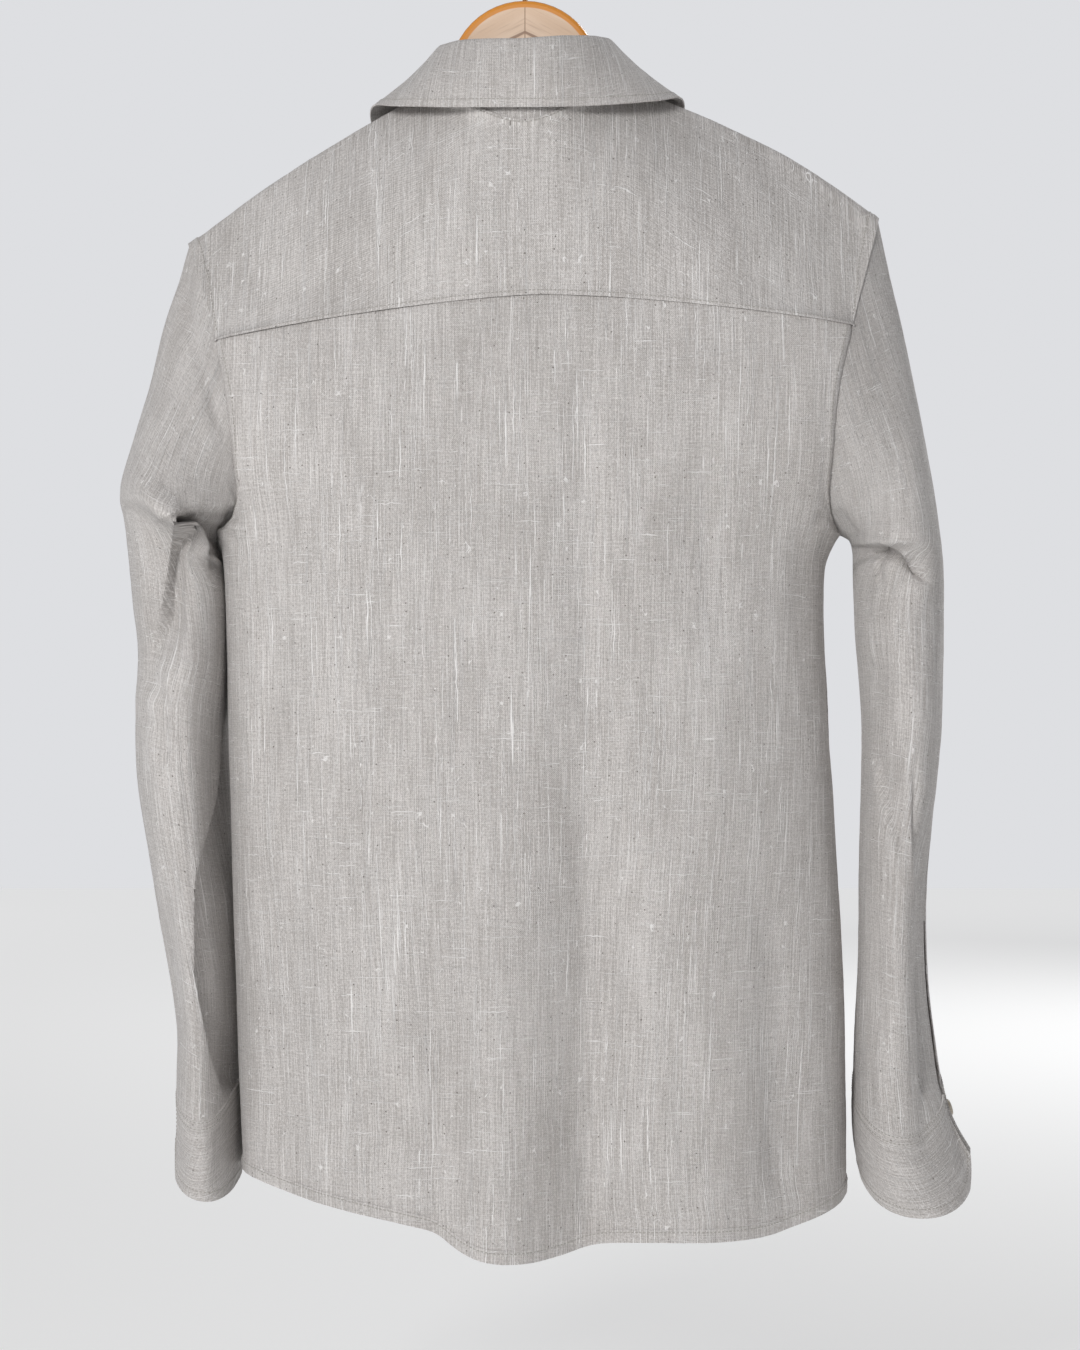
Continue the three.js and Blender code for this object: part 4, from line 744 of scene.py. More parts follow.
def cloth_piece(name, grid, uv, flip=False, keep=None, thickness=CLOTH):
    rows, columns = grid.shape[:2]
    faces = []
    for j in range(rows - 1):
        for i in range(columns - 1):
            if keep is None or keep[j, i]:
                a = j * columns + i
                face = (a, a + columns, a + columns + 1, a + 1)
                faces.append(face[::-1] if flip else face)
    piece = mesh_piece(name, grid.reshape(-1, 3), faces, uv.reshape(-1, 2))
    shape = bmesh.new()
    shape.from_mesh(piece.data)
    bmesh.ops.remove_doubles(shape, verts=shape.verts, dist=0.01 * MM)
    loose = [v for v in shape.verts if not v.link_faces]
    bmesh.ops.delete(shape, geom=loose, context="VERTS")
    shape.to_mesh(piece.data)
    shape.free()
    apply_modifier(piece, "SOLIDIFY", thickness=thickness * MM, offset=0, use_even_offset=False)
    smooth_shading(piece, 50)
    return piece


def upright_uv(grid):
    """Straight grain: level distance across from the middle of the body, and down by height."""
    steps = np.linalg.norm(np.diff(grid[..., :2], axis=1), axis=-1)
    u = np.concatenate([np.zeros((len(grid), 1)), np.cumsum(steps, 1)], 1)
    for row, x in zip(u, grid[..., 0]):
        row -= np.interp(0, x[::-1], row[::-1]) if x[-1] < 0 < x[0] else -abs(x[0])
    return np.stack([u, -grid[..., 2]], -1) * MM


def centred_uv(grid):
    """Grain that runs straight down at the middle column of a band."""
    length = line_lengths(grid)
    middle = grid.shape[1] // 2
    return np.stack([length - length[:, middle : middle + 1], from_edge(grid, "top")], -1) * MM


# %% [markdown]
# ## The back
# The back hangs in long soft folds that widen towards the hem. The main ones are in the pattern. The smaller ones
# are placed here one by one, as a crease in real cloth is never as long or as deep as its neighbour.

# %% Back
BACK_CREASES = [  # line of (x, z) as seen from behind, half-width, depth, edge, fade in, fade out
    ([(170, -370), (166, -440), (170, -520), (164, -610)], 10, -3.4, 0, 50, 90),
    ([(-38, -280), (-40, -470), (-41, -560)], 9, -2.4, 0, 60, 60), ([(42, -600), (44, -860)], 7, -2.2, 0, 80, 20),
    ([(-42, -560), (-44, -880)], 10, -2.6, 0, 120, 20), ([(104, -420), (96, -640)], 16, -2.4, 0, 70, 70),
    ([(-118, -320), (-126, -520)], 14, -2.6, 0, 60, 60), ([(-164, -640), (-168, -860)], 12, -3.4, 0, 60, 20),
    ([(20, -640), (16, -860)], 14, 1.8, 0, 70, 20), ([(-78, -620), (-84, -860)], 18, 1.6, 0, 80, 30),
    ([(128, -600), (134, -850)], 14, 1.6, 0, 80, 30), ([(-186, -400), (-180, -520)], 8, -1.8, 0, 30, 50),
    ([(-190, -300), (-176, -372)], 9, 1.2, 0, 30, 30),
    ([(206, -408), (190, -424), (183, -446)], 3.2, -1.8, 0, 3, 18), ([(207, -416), (196, -436)], 3, -1.6, 0, 3, 12),
    ([(201, -402), (185, -410)], 2.6, -1.2, 0, 3, 10), ([(-200, -400), (-188, -424)], 3.2, -1.5, 0, 3, 14),
    ([(-203, -412), (-194, -440)], 3, -1.5, 0, 3, 14),
]
back_rows = body_rows(112)
back_grid = respace(back_surface(back_rows, np.linspace(0, 1, 400)), 112, SEAM_MARKS, SEAM_MARKS)
back_up = grid_normals(back_grid)
back_grid = creased(back_grid, back_up, BACK_CREASES)
back_grid = settled(back_grid, back_up, 11)
for edge in ("first", "last"):
    back_grid = banded(back_grid, back_up, edge, only=beside_armhole(back_rows))
back_grid = banded(back_grid, back_up, "bottom", HEM_WIDTH, 0, 0.5)
back_grid += back_up * hem_lift(back_rows)
back_grid -= back_up * (0.9 * np.exp(-from_edge(back_grid, "top") / 3))[..., None]
cloth_piece("linen_back", back_grid, upright_uv(back_grid))

# %% [markdown]
# ## Yoke
# The yoke runs over both shoulders. Its folded edge laps over the back and stands on it. The two corners where the
# armhole meets the back seam would pull the grid into ridges, so the cloth between them is eased first.

# %% Yoke
YOKE_LAP = 1.4  # how far the folded edge of the yoke lies over the back
YOKE_CREASES = [
    ([(92, -150), (150, -250)], 22, -1.2, 0, 40, 40), ([(-96, -150), (-160, -240)], 24, -1.2, 0, 40, 40),
    ([(30, -165), (34, -250)], 14, 0.8, 0, 30, 30), ([(-60, -160), (-80, -250)], 16, 0.8, 0, 30, 30),
]


def lapped(grid, normals, length, rise):
    """Lets the last row of a grid run on over its neighbour, and stands it on it."""
    away = from_edge(grid, "bottom")
    step = grid[-1] - grid[-2]
    over = grid[-1] + step / np.linalg.norm(step, axis=-1, keepdims=True) * length[:, None]
    grid = grid + normals * (rise * np.exp(-away / 3))[..., None]
    over = over + normals[-1] * rise[:, None]
    return np.concatenate([grid, over[None]])


BACK_START, BACK_END = SHOULDER_CELLS, SHOULDER_CELLS + BACK_CELLS
CORNER_EASE_STEPS = 600
SHOULDER_RIDGE = [  # distance from the middle, level of the shoulder's ridge
    (0, -119), (64, -119), (100, -139), (136, -156), (163, -170), (190, -186), (223, -216),
]
yoke_columns = np.concatenate([
    np.linspace(0, BACK_START, 36), np.linspace(BACK_START, BACK_END, 120)[1:-1],
    np.linspace(BACK_END, YOKE_COLUMNS, 36),
])
yoke_grid = turned(yoke_surface(np.linspace(0, 1, 200), yoke_columns))
yoke_grid = turned(respace(yoke_grid, 44, (0, 1, 2.5, 4), SEAM_MARKS))
corners = np.exp(-(((yoke_columns - 10) / 5) ** 2)) + np.exp(-(((yoke_columns - 30) / 5) ** 2))
corners *= smooth((yoke_columns - 4.5) / 2) * smooth((35.5 - yoke_columns) / 2)
inside = smooth(from_edge(yoke_grid, "bottom") / 22) * smooth(from_edge(yoke_grid, "top") / 12)
yoke_ease = (corners * inside)[:, 1:-1, None]
for _ in range(CORNER_EASE_STEPS):
    sides = (yoke_grid[:, :-2] + yoke_grid[:, 2:]) / 2
    yoke_grid[:, 1:-1] += (sides - yoke_grid[:, 1:-1]) * yoke_ease * 0.9
yoke_up = grid_normals(yoke_grid)
yoke_grid = creased(yoke_grid, yoke_up, YOKE_CREASES)
yoke_grid = settled(yoke_grid, yoke_up, 23, soft=0.6)
on_back = smooth(yoke_columns - 7.5) * smooth(32.5 - yoke_columns)
yoke_grid = banded(yoke_grid, yoke_up, "bottom", only=(1 - on_back)[None])
yoke_grid = banded(yoke_grid, yoke_up, "top", 2.8, 1.3, 0.25)
yoke_grid = lapped(yoke_grid, yoke_up, 0.5 + YOKE_LAP * on_back, 0.3 + 1.2 * on_back)
ridge_z = np.interp(np.abs(yoke_grid[..., 0]), *zip(*SHOULDER_RIDGE))
yoke_v = np.sign(yoke_grid[..., 1]) * np.hypot(yoke_grid[..., 1], yoke_grid[..., 2] - ridge_z)
cloth_piece("linen_yoke", yoke_grid, np.stack([yoke_grid[..., 0], yoke_v + 30], -1) * MM)

# %% [markdown]
# ## Fronts
# The front is not in the photograph, so its folds are plain ones of a shirt on a hanger. The cloth lies still
# beside the zip, because the tape holds it.

# %% Fronts
FRONT_CREASES = {
    "left": [
        ([(60, -320), (72, -620)], 14, -2.5, 0, 90, 90), ([(150, -340), (120, -560)], 16, -2.5, 0, 60, 60),
        ([(110, -600), (116, -840)], 14, 2.2, 0, 80, 20), ([(176, -420), (168, -640)], 10, -2.2, 0, 60, 60),
        ([(40, -560), (34, -820)], 12, 1.6, 0, 80, 30),
    ],
    "right": [
        ([(-58, -330), (-66, -640)], 14, -2.5, 0, 90, 90), ([(-152, -350), (-124, -540)], 16, -2.5, 0, 60, 60),
        ([(-104, -560), (-112, -840)], 14, 2.2, 0, 80, 20), ([(-178, -430), (-172, -660)], 10, -2.2, 0, 60, 60),
        ([(-38, -600), (-36, -820)], 12, 1.6, 0, 80, 30),
    ],
}
front_rows = body_rows(100)
front_grids, front_ups = {}, {}
for side, seed, uv_shift in (("left", 31, 0.31), ("right", 37, 0.83)):
    flip = side == "right"
    grid = respace(front_surface(side, front_rows, np.linspace(0, 1, 200)), 46, (0, 1, 3, 6, 7.5), SEAM_MARKS)
    up = grid_normals(grid, flip)
    plain = grid
    grid = creased(grid, up, FRONT_CREASES[side], facing=-1)
    grid = settled(grid, up, seed)
    grid = plain + (grid - plain) * smooth(from_edge(plain, "first") / 14)[..., None]
    grid = banded(grid, up, "last", only=beside_armhole(front_rows))
    grid = banded(grid, up, "bottom", HEM_WIDTH, 0, 0.5)
    grid = grid + up * hem_lift(front_rows)
    front_grids[side], front_ups[side] = grid, up
    cloth_piece(f"linen_front_{side}", grid, upright_uv(grid) + uv_shift, flip)

# %% [markdown]
# ## Collar
# The stand is plain. The fall has a row of closer grid lines at its edge, where two layers are turned and sewn, and
# its weave runs straight down at the middle of the back.

# %% Collar
COLLAR_CLOTH = 1.0
CUFF_CLOTH = 1.3
stand_columns = np.linspace(0, COLLAR_COLUMNS, 240)
stand_grid = stand_surface(np.linspace(0, 1, 14), stand_columns)
cloth_piece("linen_collar_stand", stand_grid, centred_uv(stand_grid) + 0.7, thickness=COLLAR_CLOTH)

fall_grid = fall_surface(np.linspace(0, 1, 160), stand_columns)
fall_grid = turned(respace(turned(fall_grid), 40, (0, 1, 2, 3), (0, 1, 3, 5, 6, 8)))
fall_up = grid_normals(fall_grid)
fall_grid = settled(fall_grid, fall_up, 41, soft=0.5, fine=0.12)
fall_grid = banded(fall_grid, fall_up, "bottom", 5.5, 0.15, 0.25)
cloth_piece("linen_collar_fall", fall_grid, centred_uv(fall_grid) + 0.93, thickness=COLLAR_CLOTH)

# %% [markdown]
# ## Sleeves and cuffs
# A hanging sleeve folds at the elbow, and its upper cloth hangs over the lower. The solids have that step, and here
# the cloth below its edge is set back and hollowed. The creases follow those of the photograph. The slit above each
# cuff is a gap in the grid.

# %% Sleeves and cuffs
SLEEVE_CREASES = {
    "left": [
        ([(228, -236), (223, -280), (213, -314), (199, -357)], 5, -3.2, 0, 20, 20),
        ([(232, -403), (238, -440), (244, -474), (252, -502)], 20, -13, 3, 3, 44),
        ([(246, -412), (229, -401), (216, -400), (204, -402), (190, -397)], 13, 3.5, 2.5, 12, 5),
        ([(214, -404), (208, -424), (209, -446)], 4, -3, 2, 4, 16),
        ([(206, -408), (200, -430)], 3, -2, 0, 4, 12),
        ([(256, -504), (240, -528), (232, -560)], 6, -4, 0, 16, 24),
        ([(258, -530), (244, -548), (234, -572)], 5, -3, 0, 14, 16),
        ([(199, -530), (206, -593), (213.5, -624), (220, -654), (220.5, -712), (209, -762), (201, -792)],
         15, -9, 2.5, 30, 12),
        ([(231, -504), (227, -592), (221.5, -662)], 2.2, -0.8, 0, 30, 10),
        ([(232, -600), (238, -680), (230, -770)], 8, -2.5, 0, 40, 30),
        ([(243, -300), (228, -352), (205, -380)], 15, -1.6, 0, 30, 20),
    ],
    "right": [
        ([(-273, -449), (-258, -435), (-245, -426), (-235, -422), (-217, -423), (-200, -428)], 46, -6, 2, 22, 6),
        ([(-200, -434), (-217, -430), (-235, -429), (-247, -431), (-259, -438), (-273, -450)], 3.5, -7, 0, 6, 16),
        ([(-222, -420), (-214, -410), (-208, -398)], 3.5, -3, 0, 6, 6),
        ([(-228, -424), (-228, -440), (-234, -456)], 4, -2.5, 2, 4, 12),
        ([(-227, -553), (-236, -593), (-250, -640)], 16, -5, 3.5, 30, 40),
        ([(-245, -527), (-253, -567), (-260, -660), (-258, -713), (-262, -800)], 20, -5, 5, 90, 20),
        ([(-236, -470), (-240, -520)], 7, -1.8, 0, 16, 20),
        ([(-268, -560), (-266, -640)], 6, 2, 0, 30, 30),
        ([(-232, -660), (-238, -760)], 9, -3, 0, 30, 30),
        ([(-238, -300), (-226, -360), (-212, -400)], 14, -1.6, 0, 30, 20),
    ],
}
SLEEVE_LEDGES = {  # the lower edge of the cloth that hangs over, as seen from behind
    "left": [(190, -396), (204, -401), (216, -400), (228, -400), (233, -406), (236, -430)],
    "right": [(-273, -449), (-258, -435), (-245, -426), (-235, -422), (-217, -423), (-200, -428)],
}
LEDGE_RING = 8


def set_back(grid, line):
    """Lets the cloth below a ledge hang as far in as it does at a ring further down."""
    x, z = seen_from_behind(grid)
    away, along, side, long = to_line(x, z, line)
    share = smooth(away * side / 2.5) * smooth(along / 8) * smooth((long - along) / 8) * smooth(grid[..., 1] / 15)
    share *= smooth((LEDGE_RING - sleeve_rings) / 0.5)[:, None]
    limit = grid[np.argmin(np.abs(sleeve_rings - LEDGE_RING)), :, 1]
    grid = grid.copy()
    grid[..., 1] = mix(grid[..., 1], np.minimum(grid[..., 1], limit), share)
    return grid


sleeve_rings = np.concatenate([
    np.linspace(0, 4.5, 44), np.linspace(4.5, 9, 84)[1:], np.linspace(9, RINGS, 76)[1:],
])
sleeve_columns = np.linspace(0, RING_CELLS, 7 * RING_CELLS + 1)
is_slit_column = (sleeve_columns[:-1] >= SLIT_COLUMN) & (sleeve_columns[:-1] < SLIT_COLUMN + 1)
is_slit_ring = sleeve_rings[:-1] >= RINGS - SLIT_RINGS
free = smooth(sleeve_rings / 1.2)[:, None, None] * smooth((RINGS - sleeve_rings) / 0.6)[:, None, None]
grain_column = np.argmin(np.abs(sleeve_columns - 4))
grain_ring = np.argmin(np.abs(sleeve_rings - 9))
cuff_columns = np.concatenate([
    sleeve_columns[sleeve_columns >= SLIT_COLUMN + 1],
    sleeve_columns[1:][sleeve_columns[1:] <= SLIT_COLUMN] + RING_CELLS,
])
cuff_grids, cuff_ups = {}, {}
for side, seed, uv_shift in (("left", 51, 1.3), ("right", 57, 1.7)):
    flip = side == "right"
    grid = sleeve_surface(side, sleeve_rings, sleeve_columns)
    up = grid_normals(grid, flip, closed=True)
    around = line_lengths(grid)
    length = line_lengths(turned(grid)).T
    uv = np.stack([around - around[:, grain_column : grain_column + 1], length - length[grain_ring]], -1) * MM
    grid = creased(set_back(grid, SLEEVE_LEDGES[side]), up, SLEEVE_CREASES[side])
    grid = grid + (settled(grid, up, seed, soft=1.0) - grid) * free
    cloth_piece(f"linen_sleeve_{side}", grid, uv + uv_shift, flip, keep=~(is_slit_ring[:, None] & is_slit_column))
    cuff = cuff_surface(side, np.linspace(0, 1, 30), cuff_columns)
    up = grid_normals(cuff, flip)
    cuff = settled(cuff, up, seed + 5, soft=0.6)
    uv = np.stack([from_edge(cuff, "top"), line_lengths(cuff)], -1) * MM + 2.1
    cuff_grids[side], cuff_ups[side] = cuff, up
    cloth_piece(f"linen_cuff_{side}", cuff, uv, flip, thickness=CUFF_CLOTH)

# %% [markdown]
# ## Linen, wood and metal
# Linen looks like linen through its yarn: each thread is thicker and thinner along its length, and the thick
# stretches, the slubs, take less dye. One node group makes that from the cloth's own UV map in metres, so the
# shirt and the zip's tape share it at their own values. It gives masks and a height only. The colours, the
# roughness and the sheen are set in each material.


# %% Node helpers
def add_node(tree, kind, inputs=None, **settings):
    node = tree.nodes.new(kind)
    for name, value in settings.items():
        setattr(node, name, value)
    for name, value in (inputs or {}).items():
        if isinstance(value, bpy.types.NodeSocket):
            tree.links.new(value, node.inputs[name])
        else:
            node.inputs[name].default_value = value
    return node


def calc(tree, operation, a, b=0.0, c=0.0):
    return add_node(tree, "ShaderNodeMath", {0: a, 1: b, 2: c}, operation=operation).outputs[0]


def stretched_noise(tree, u, v, across, along, detail=0.0, offset=0.0):
    """Noise whose spots are 1/across by 1/along metres on the cloth."""
    place = add_node(tree, "ShaderNodeCombineXYZ", {
        "X": calc(tree, "MULTIPLY_ADD", u, across, offset), "Y": calc(tree, "MULTIPLY", v, along),
    })
    node = add_node(tree, "ShaderNodeTexNoise", {
        "Vector": place.outputs[0], "Scale": 1.0, "Detail": detail, "Roughness": 0.6,
    }, noise_dimensions="2D")
    return node.outputs["Fac"]


def ramp(tree, value, low, high):
    return add_node(tree, "ShaderNodeMapRange", {
        "Value": value, "From Min": low, "From Max": high,
    }, interpolation_type="SMOOTHSTEP").outputs["Result"]


def blend_colour(tree, share, first, second):
    node = add_node(tree, "ShaderNodeMix", data_type="RGBA")
    for place, value in ((0, share), (6, first), (7, second)):
        if isinstance(value, bpy.types.NodeSocket):
            tree.links.new(value, node.inputs[place])
        else:
            node.inputs[place].default_value = value
    return node.outputs[2]


def node_group(name, inputs, outputs):
    tree = bpy.data.node_groups.new(name, "ShaderNodeTree")
    for label, kind in inputs:
        tree.interface.new_socket(label, in_out="INPUT", socket_type=kind)
    for label, kind in outputs:
        tree.interface.new_socket(label, in_out="OUTPUT", socket_type=kind)
    return tree, tree.nodes.new("NodeGroupInput").outputs, tree.nodes.new("NodeGroupOutput").inputs


# %% [markdown]
# ## The slub weave
# The group adds up what the eye sees in slub linen: slubs, the tone of single yarns and of patches, dark flecks of
# husk, and the relief of the weave itself.

# %% Slub weave group
YARN = 1500       # yarns to a metre
SLUB_LENGTH = 15  # slubs to a metre of yarn, about
weave, given, gives = node_group(
    "slub_weave",
    [("Cloth", "NodeSocketVector"), ("Slubs", "NodeSocketFloat"), ("Flecks", "NodeSocketFloat")],
    [("Tone", "NodeSocketFloat"), ("Slub", "NodeSocketFloat"), ("Fleck", "NodeSocketFloat"),
     ("Relief", "NodeSocketFloat")],
)
axes = add_node(weave, "ShaderNodeSeparateXYZ", {"Vector": given["Cloth"]}).outputs
u, v = axes["X"], axes["Y"]


def woven(u, v, across, along, detail=0.0, offset=0.0):
    return stretched_noise(weave, u, v, across, along, detail, offset)


def times(a, b):
    return calc(weave, "MULTIPLY", a, b)


def plus(a, b):
    return calc(weave, "ADD", a, b)


def swing(noise_value, size):
    """A noise that swings both ways from nought."""
    return times(calc(weave, "SUBTRACT", noise_value, 0.5), size)


# Yarns waver, and each is shifted along itself, or else their slubs would stand in rows.
waver = swing(woven(u, v, 26, 9, 1.0, 3.1), 0.0022)
shift_down = calc(weave, "MULTIPLY_ADD", woven(u, v, 240, 0.0, 1.0, 21.7), 0.3, v)
shift_across = calc(weave, "MULTIPLY_ADD", woven(v, u, 240, 0.0, 1.0, 33.1), 0.2, u)
u_waved, v_waved = plus(u, waver), plus(v, waver)
wriggle = swing(woven(u, v, 150, 80, 1.0, 5.2), 0.002)

# Slubs: long ones down the warp, in crowds, fewer across the weft, and loose curled threads.
crowd = ramp(weave, woven(u, shift_down, 70, 9, 2.0, 7.7), 0.36, 0.62)
warp = ramp(weave, woven(plus(u_waved, wriggle), shift_down, YARN * 1.15, SLUB_LENGTH, 0.0, 1.3), 0.6, 0.78)
weft = ramp(weave, woven(plus(v_waved, wriggle), shift_across, YARN, SLUB_LENGTH * 2, 0.0, 5.9), 0.74, 0.9)
winding = calc(weave, "ABSOLUTE", calc(weave, "SUBTRACT", woven(u, v, 95, 70, 1.0, 12.4), 0.5))
curl = calc(weave, "SUBTRACT", 1.0, ramp(weave, winding, 0.003, 0.009))
stray = times(curl, ramp(weave, woven(u, v, 170, 120, 0.0, 15.1), 0.54, 0.64))
slub = calc(weave, "MAXIMUM", times(warp, crowd), calc(weave, "MAXIMUM", weft, times(stray, 0.7)))
slub = times(slub, given["Slubs"])

# Tone: single yarns, and patches a few millimetres and a few centimetres wide.
warp_yarn = woven(u_waved, shift_down, YARN, 24, 1.0, 2.2)
weft_yarn = woven(v_waved, shift_across, YARN * 1.1, 70, 1.0, 8.4)
mottle = woven(u, v, 900, 650, 2.0, 4.4)
broad = woven(u, v, 24, 9, 2.0, 6.6)
yarns = calc(weave, "MULTIPLY_ADD", warp_yarn, 0.4, times(weft_yarn, 0.2))
patches = calc(weave, "MULTIPLY_ADD", mottle, 0.38, times(broad, 0.14))
tone = ramp(weave, plus(yarns, patches), 0.4, 0.76)

# Flecks: dark specks of husk, in some of the cells of a fine pattern.
fleck_cells = add_node(weave, "ShaderNodeTexVoronoi", {
    "Vector": given["Cloth"], "Scale": 105.0, "Randomness": 1.0,
}, voronoi_dimensions="2D")
fleck_chance = add_node(weave, "ShaderNodeSeparateColor", {"Color": fleck_cells.outputs["Color"]}).outputs[0]
fleck_spot = calc(weave, "SUBTRACT", 1.0, ramp(weave, fleck_cells.outputs["Distance"], 0.03, 0.07))
fleck = times(times(fleck_spot, ramp(weave, fleck_chance, 0.6, 0.95)), given["Flecks"])

# Relief: a plain weave, raised where a slub or a thick yarn runs.
over = calc(weave, "SINE", times(u_waved, math.pi * YARN))
under = calc(weave, "SINE", times(v_waved, math.pi * YARN))
relief = calc(weave, "MULTIPLY_ADD", times(over, under), 0.16, times(slub, 0.5))
relief = plus(relief, times(plus(warp_yarn, weft_yarn), 0.35))
for label, value in (("Tone", tone), ("Slub", slub), ("Fleck", fleck), ("Relief", relief)):
    weave.links.new(value, gives[label])


# %% [markdown]
# ## Cloth materials
# Both cloths use the weave group at their own colours. A sheen on a rough shader gives the soft edge light of
# fibres that stand up from the cloth.

# %% Cloth materials
def new_material(name, **settings):
    """A material, its node tree and its Principled shader, with constants set on the shader's own sockets."""
    material = bpy.data.materials.new(name)
    material.use_nodes = True
    tree = material.node_tree
    shader = tree.nodes["Principled BSDF"]
    for label, value in settings.items():
        shader.inputs[label.replace("_", " ")].default_value = value
    return material, tree, shader


def bump(tree, shader, height, distance, strength=1.0):
    node = add_node(tree, "ShaderNodeBump", {"Height": height, "Distance": distance, "Strength": strength})
    tree.links.new(node.outputs[0], shader.inputs["Normal"])


def woven_cloth(name, dark, light, slub_colour, slubs, flecks, height):
    material, tree, shader = new_material(name, Roughness=0.93, Sheen_Weight=0.18, Sheen_Roughness=0.5)
    shader.inputs["Specular IOR Level"].default_value = 0.25
    place = add_node(tree, "ShaderNodeUVMap", uv_map="weave").outputs[0]
    group = add_node(tree, "ShaderNodeGroup", node_tree=weave)
    tree.links.new(place, group.inputs["Cloth"])
    group.inputs["Slubs"].default_value = slubs
    group.inputs["Flecks"].default_value = flecks
    colour = blend_colour(tree, group.outputs["Tone"], dark, light)
    colour = blend_colour(tree, group.outputs["Slub"], colour, slub_colour)
    colour = blend_colour(tree, group.outputs["Fleck"], colour, (0.1, 0.085, 0.07, 1))
    tree.links.new(colour, shader.inputs["Base Color"])
    bump(tree, shader, group.outputs["Relief"], height)
    return material


linen = woven_cloth(
    "slub_linen", dark=(0.38, 0.354, 0.335, 1), light=(0.7, 0.67, 0.65, 1), slub_colour=(0.9, 0.88, 0.865, 1),
    slubs=0.85, flecks=0.85, height=0.0007)
tape_cloth = woven_cloth(
    "zip_tape_cloth", dark=(0.3, 0.28, 0.25, 1), light=(0.42, 0.4, 0.37, 1), slub_colour=(0.5, 0.48, 0.45, 1),
    slubs=0.1, flecks=0, height=0.0003)

# %% [markdown]
# ## Wood and metal
# The hanger's grain falls away from its middle on both sides, as two boards were glued there. Its faces are bare
# maple with dark veins, and its round edge is varnished amber. The metals have fine scratches that make them
# rougher in places.

# %% Wood and metal
DOME_MIDDLE_Z = -0.112
wood, tree, shader = new_material("hanger_maple", Coat_Weight=0.35, Coat_Roughness=0.25)
place = add_node(tree, "ShaderNodeTexCoord").outputs["Object"]
place = add_node(tree, "ShaderNodeSeparateXYZ", {"Vector": place}).outputs
aside = calc(tree, "ABSOLUTE", place["X"])
across_grain = calc(tree, "MULTIPLY_ADD", aside, 0.52, place["Z"])
along_grain = calc(tree, "MULTIPLY_ADD", aside, 1.0, calc(tree, "MULTIPLY", place["Z"], -0.3))
pores = stretched_noise(tree, across_grain, along_grain, 420, 22, 3.0, 2.0)
growth = stretched_noise(tree, across_grain, along_grain, 55, 5, 2.0, 9.0)
veins = ramp(tree, stretched_noise(tree, across_grain, along_grain, 170, 6, 1.0, 4.0), 0.58, 0.64)
face = blend_colour(tree, ramp(tree, growth, 0.3, 0.7), (0.8, 0.61, 0.46, 1), (0.7, 0.5, 0.35, 1))
face = blend_colour(tree, calc(tree, "MULTIPLY", ramp(tree, pores, 0.5, 0.8), 0.45), face, (0.42, 0.25, 0.15, 1))
face = blend_colour(tree, calc(tree, "MULTIPLY", veins, 0.75), face, (0.2, 0.095, 0.05, 1))
glued = ramp(tree, aside, 0.0, 0.0006)
face = blend_colour(tree, glued, (0.3, 0.17, 0.1, 1), face)
facing = calc(tree, "ABSOLUTE", add_node(tree, "ShaderNodeSeparateXYZ", {
    "Vector": add_node(tree, "ShaderNodeNewGeometry").outputs["Normal"],
}).outputs["Y"])
dome = {"X": place["X"], "Y": calc(tree, "SUBTRACT", place["Z"], DOME_MIDDLE_Z)}
from_middle = add_node(tree, "ShaderNodeCombineXYZ", dome).outputs[0]
radius = add_node(tree, "ShaderNodeVectorMath", {0: from_middle}, operation="LENGTH").outputs["Value"]
rim = calc(tree, "MULTIPLY", ramp(tree, radius, 0.0448, 0.0456), ramp(tree, place["Z"], -0.106, -0.1))
bare = calc(tree, "MULTIPLY", ramp(tree, facing, 0.6, 0.95), calc(tree, "SUBTRACT", 1.0, rim))
colour = blend_colour(tree, bare, (0.66, 0.25, 0.025, 1), face)
tree.links.new(colour, shader.inputs["Base Color"])
tree.links.new(add_node(tree, "ShaderNodeMapRange", {
    "Value": pores, "To Min": 0.34, "To Max": 0.55}).outputs[0], shader.inputs["Roughness"])
bump(tree, shader, pores, 0.00015, 0.6)


def brushed_metal(name, colour, dull, rough, size):
    material, tree, shader = new_material(name, Metallic=1.0)
    place = add_node(tree, "ShaderNodeTexCoord").outputs["Object"]
    scratches = add_node(tree, "ShaderNodeTexNoise", {"Vector": place, "Scale": size, "Detail": 3.0}).outputs["Fac"]
    smears = add_node(tree, "ShaderNodeTexNoise", {"Vector": place, "Scale": size / 12}).outputs["Fac"]
    tree.links.new(blend_colour(tree, ramp(tree, smears, 0.35, 0.7), colour, dull), shader.inputs["Base Color"])
    tree.links.new(add_node(tree, "ShaderNodeMapRange", {
        "Value": scratches, "To Min": rough * 0.7, "To Max": rough * 1.4}).outputs[0], shader.inputs["Roughness"])
    bump(tree, shader, scratches, 0.00003, 0.5)
    return material


hook_steel = brushed_metal("hook_steel", (0.78, 0.78, 0.79, 1), (0.7, 0.7, 0.7, 1), 0.2, 900.0)
zip_metal = brushed_metal("zip_nickel", (0.62, 0.6, 0.57, 1), (0.4, 0.38, 0.36, 1), 0.32, 1400.0)

# %% [markdown]
# ## Horn and thread
# The buttons are clouded horn with a polish. The thread is darker than the linen, partly its own colour and partly
# painted shade that stands for the dents the needle leaves along a seam. Its twist is only a fine noise.

# %% Horn and thread
def object_noise(tree, scale, detail=0.0, distortion=0.0):
    """Noise through the space of the object, in metres."""
    return add_node(tree, "ShaderNodeTexNoise", {
        "Vector": add_node(tree, "ShaderNodeTexCoord").outputs["Object"], "Scale": scale, "Detail": detail,
        "Distortion": distortion,
    }).outputs["Fac"]


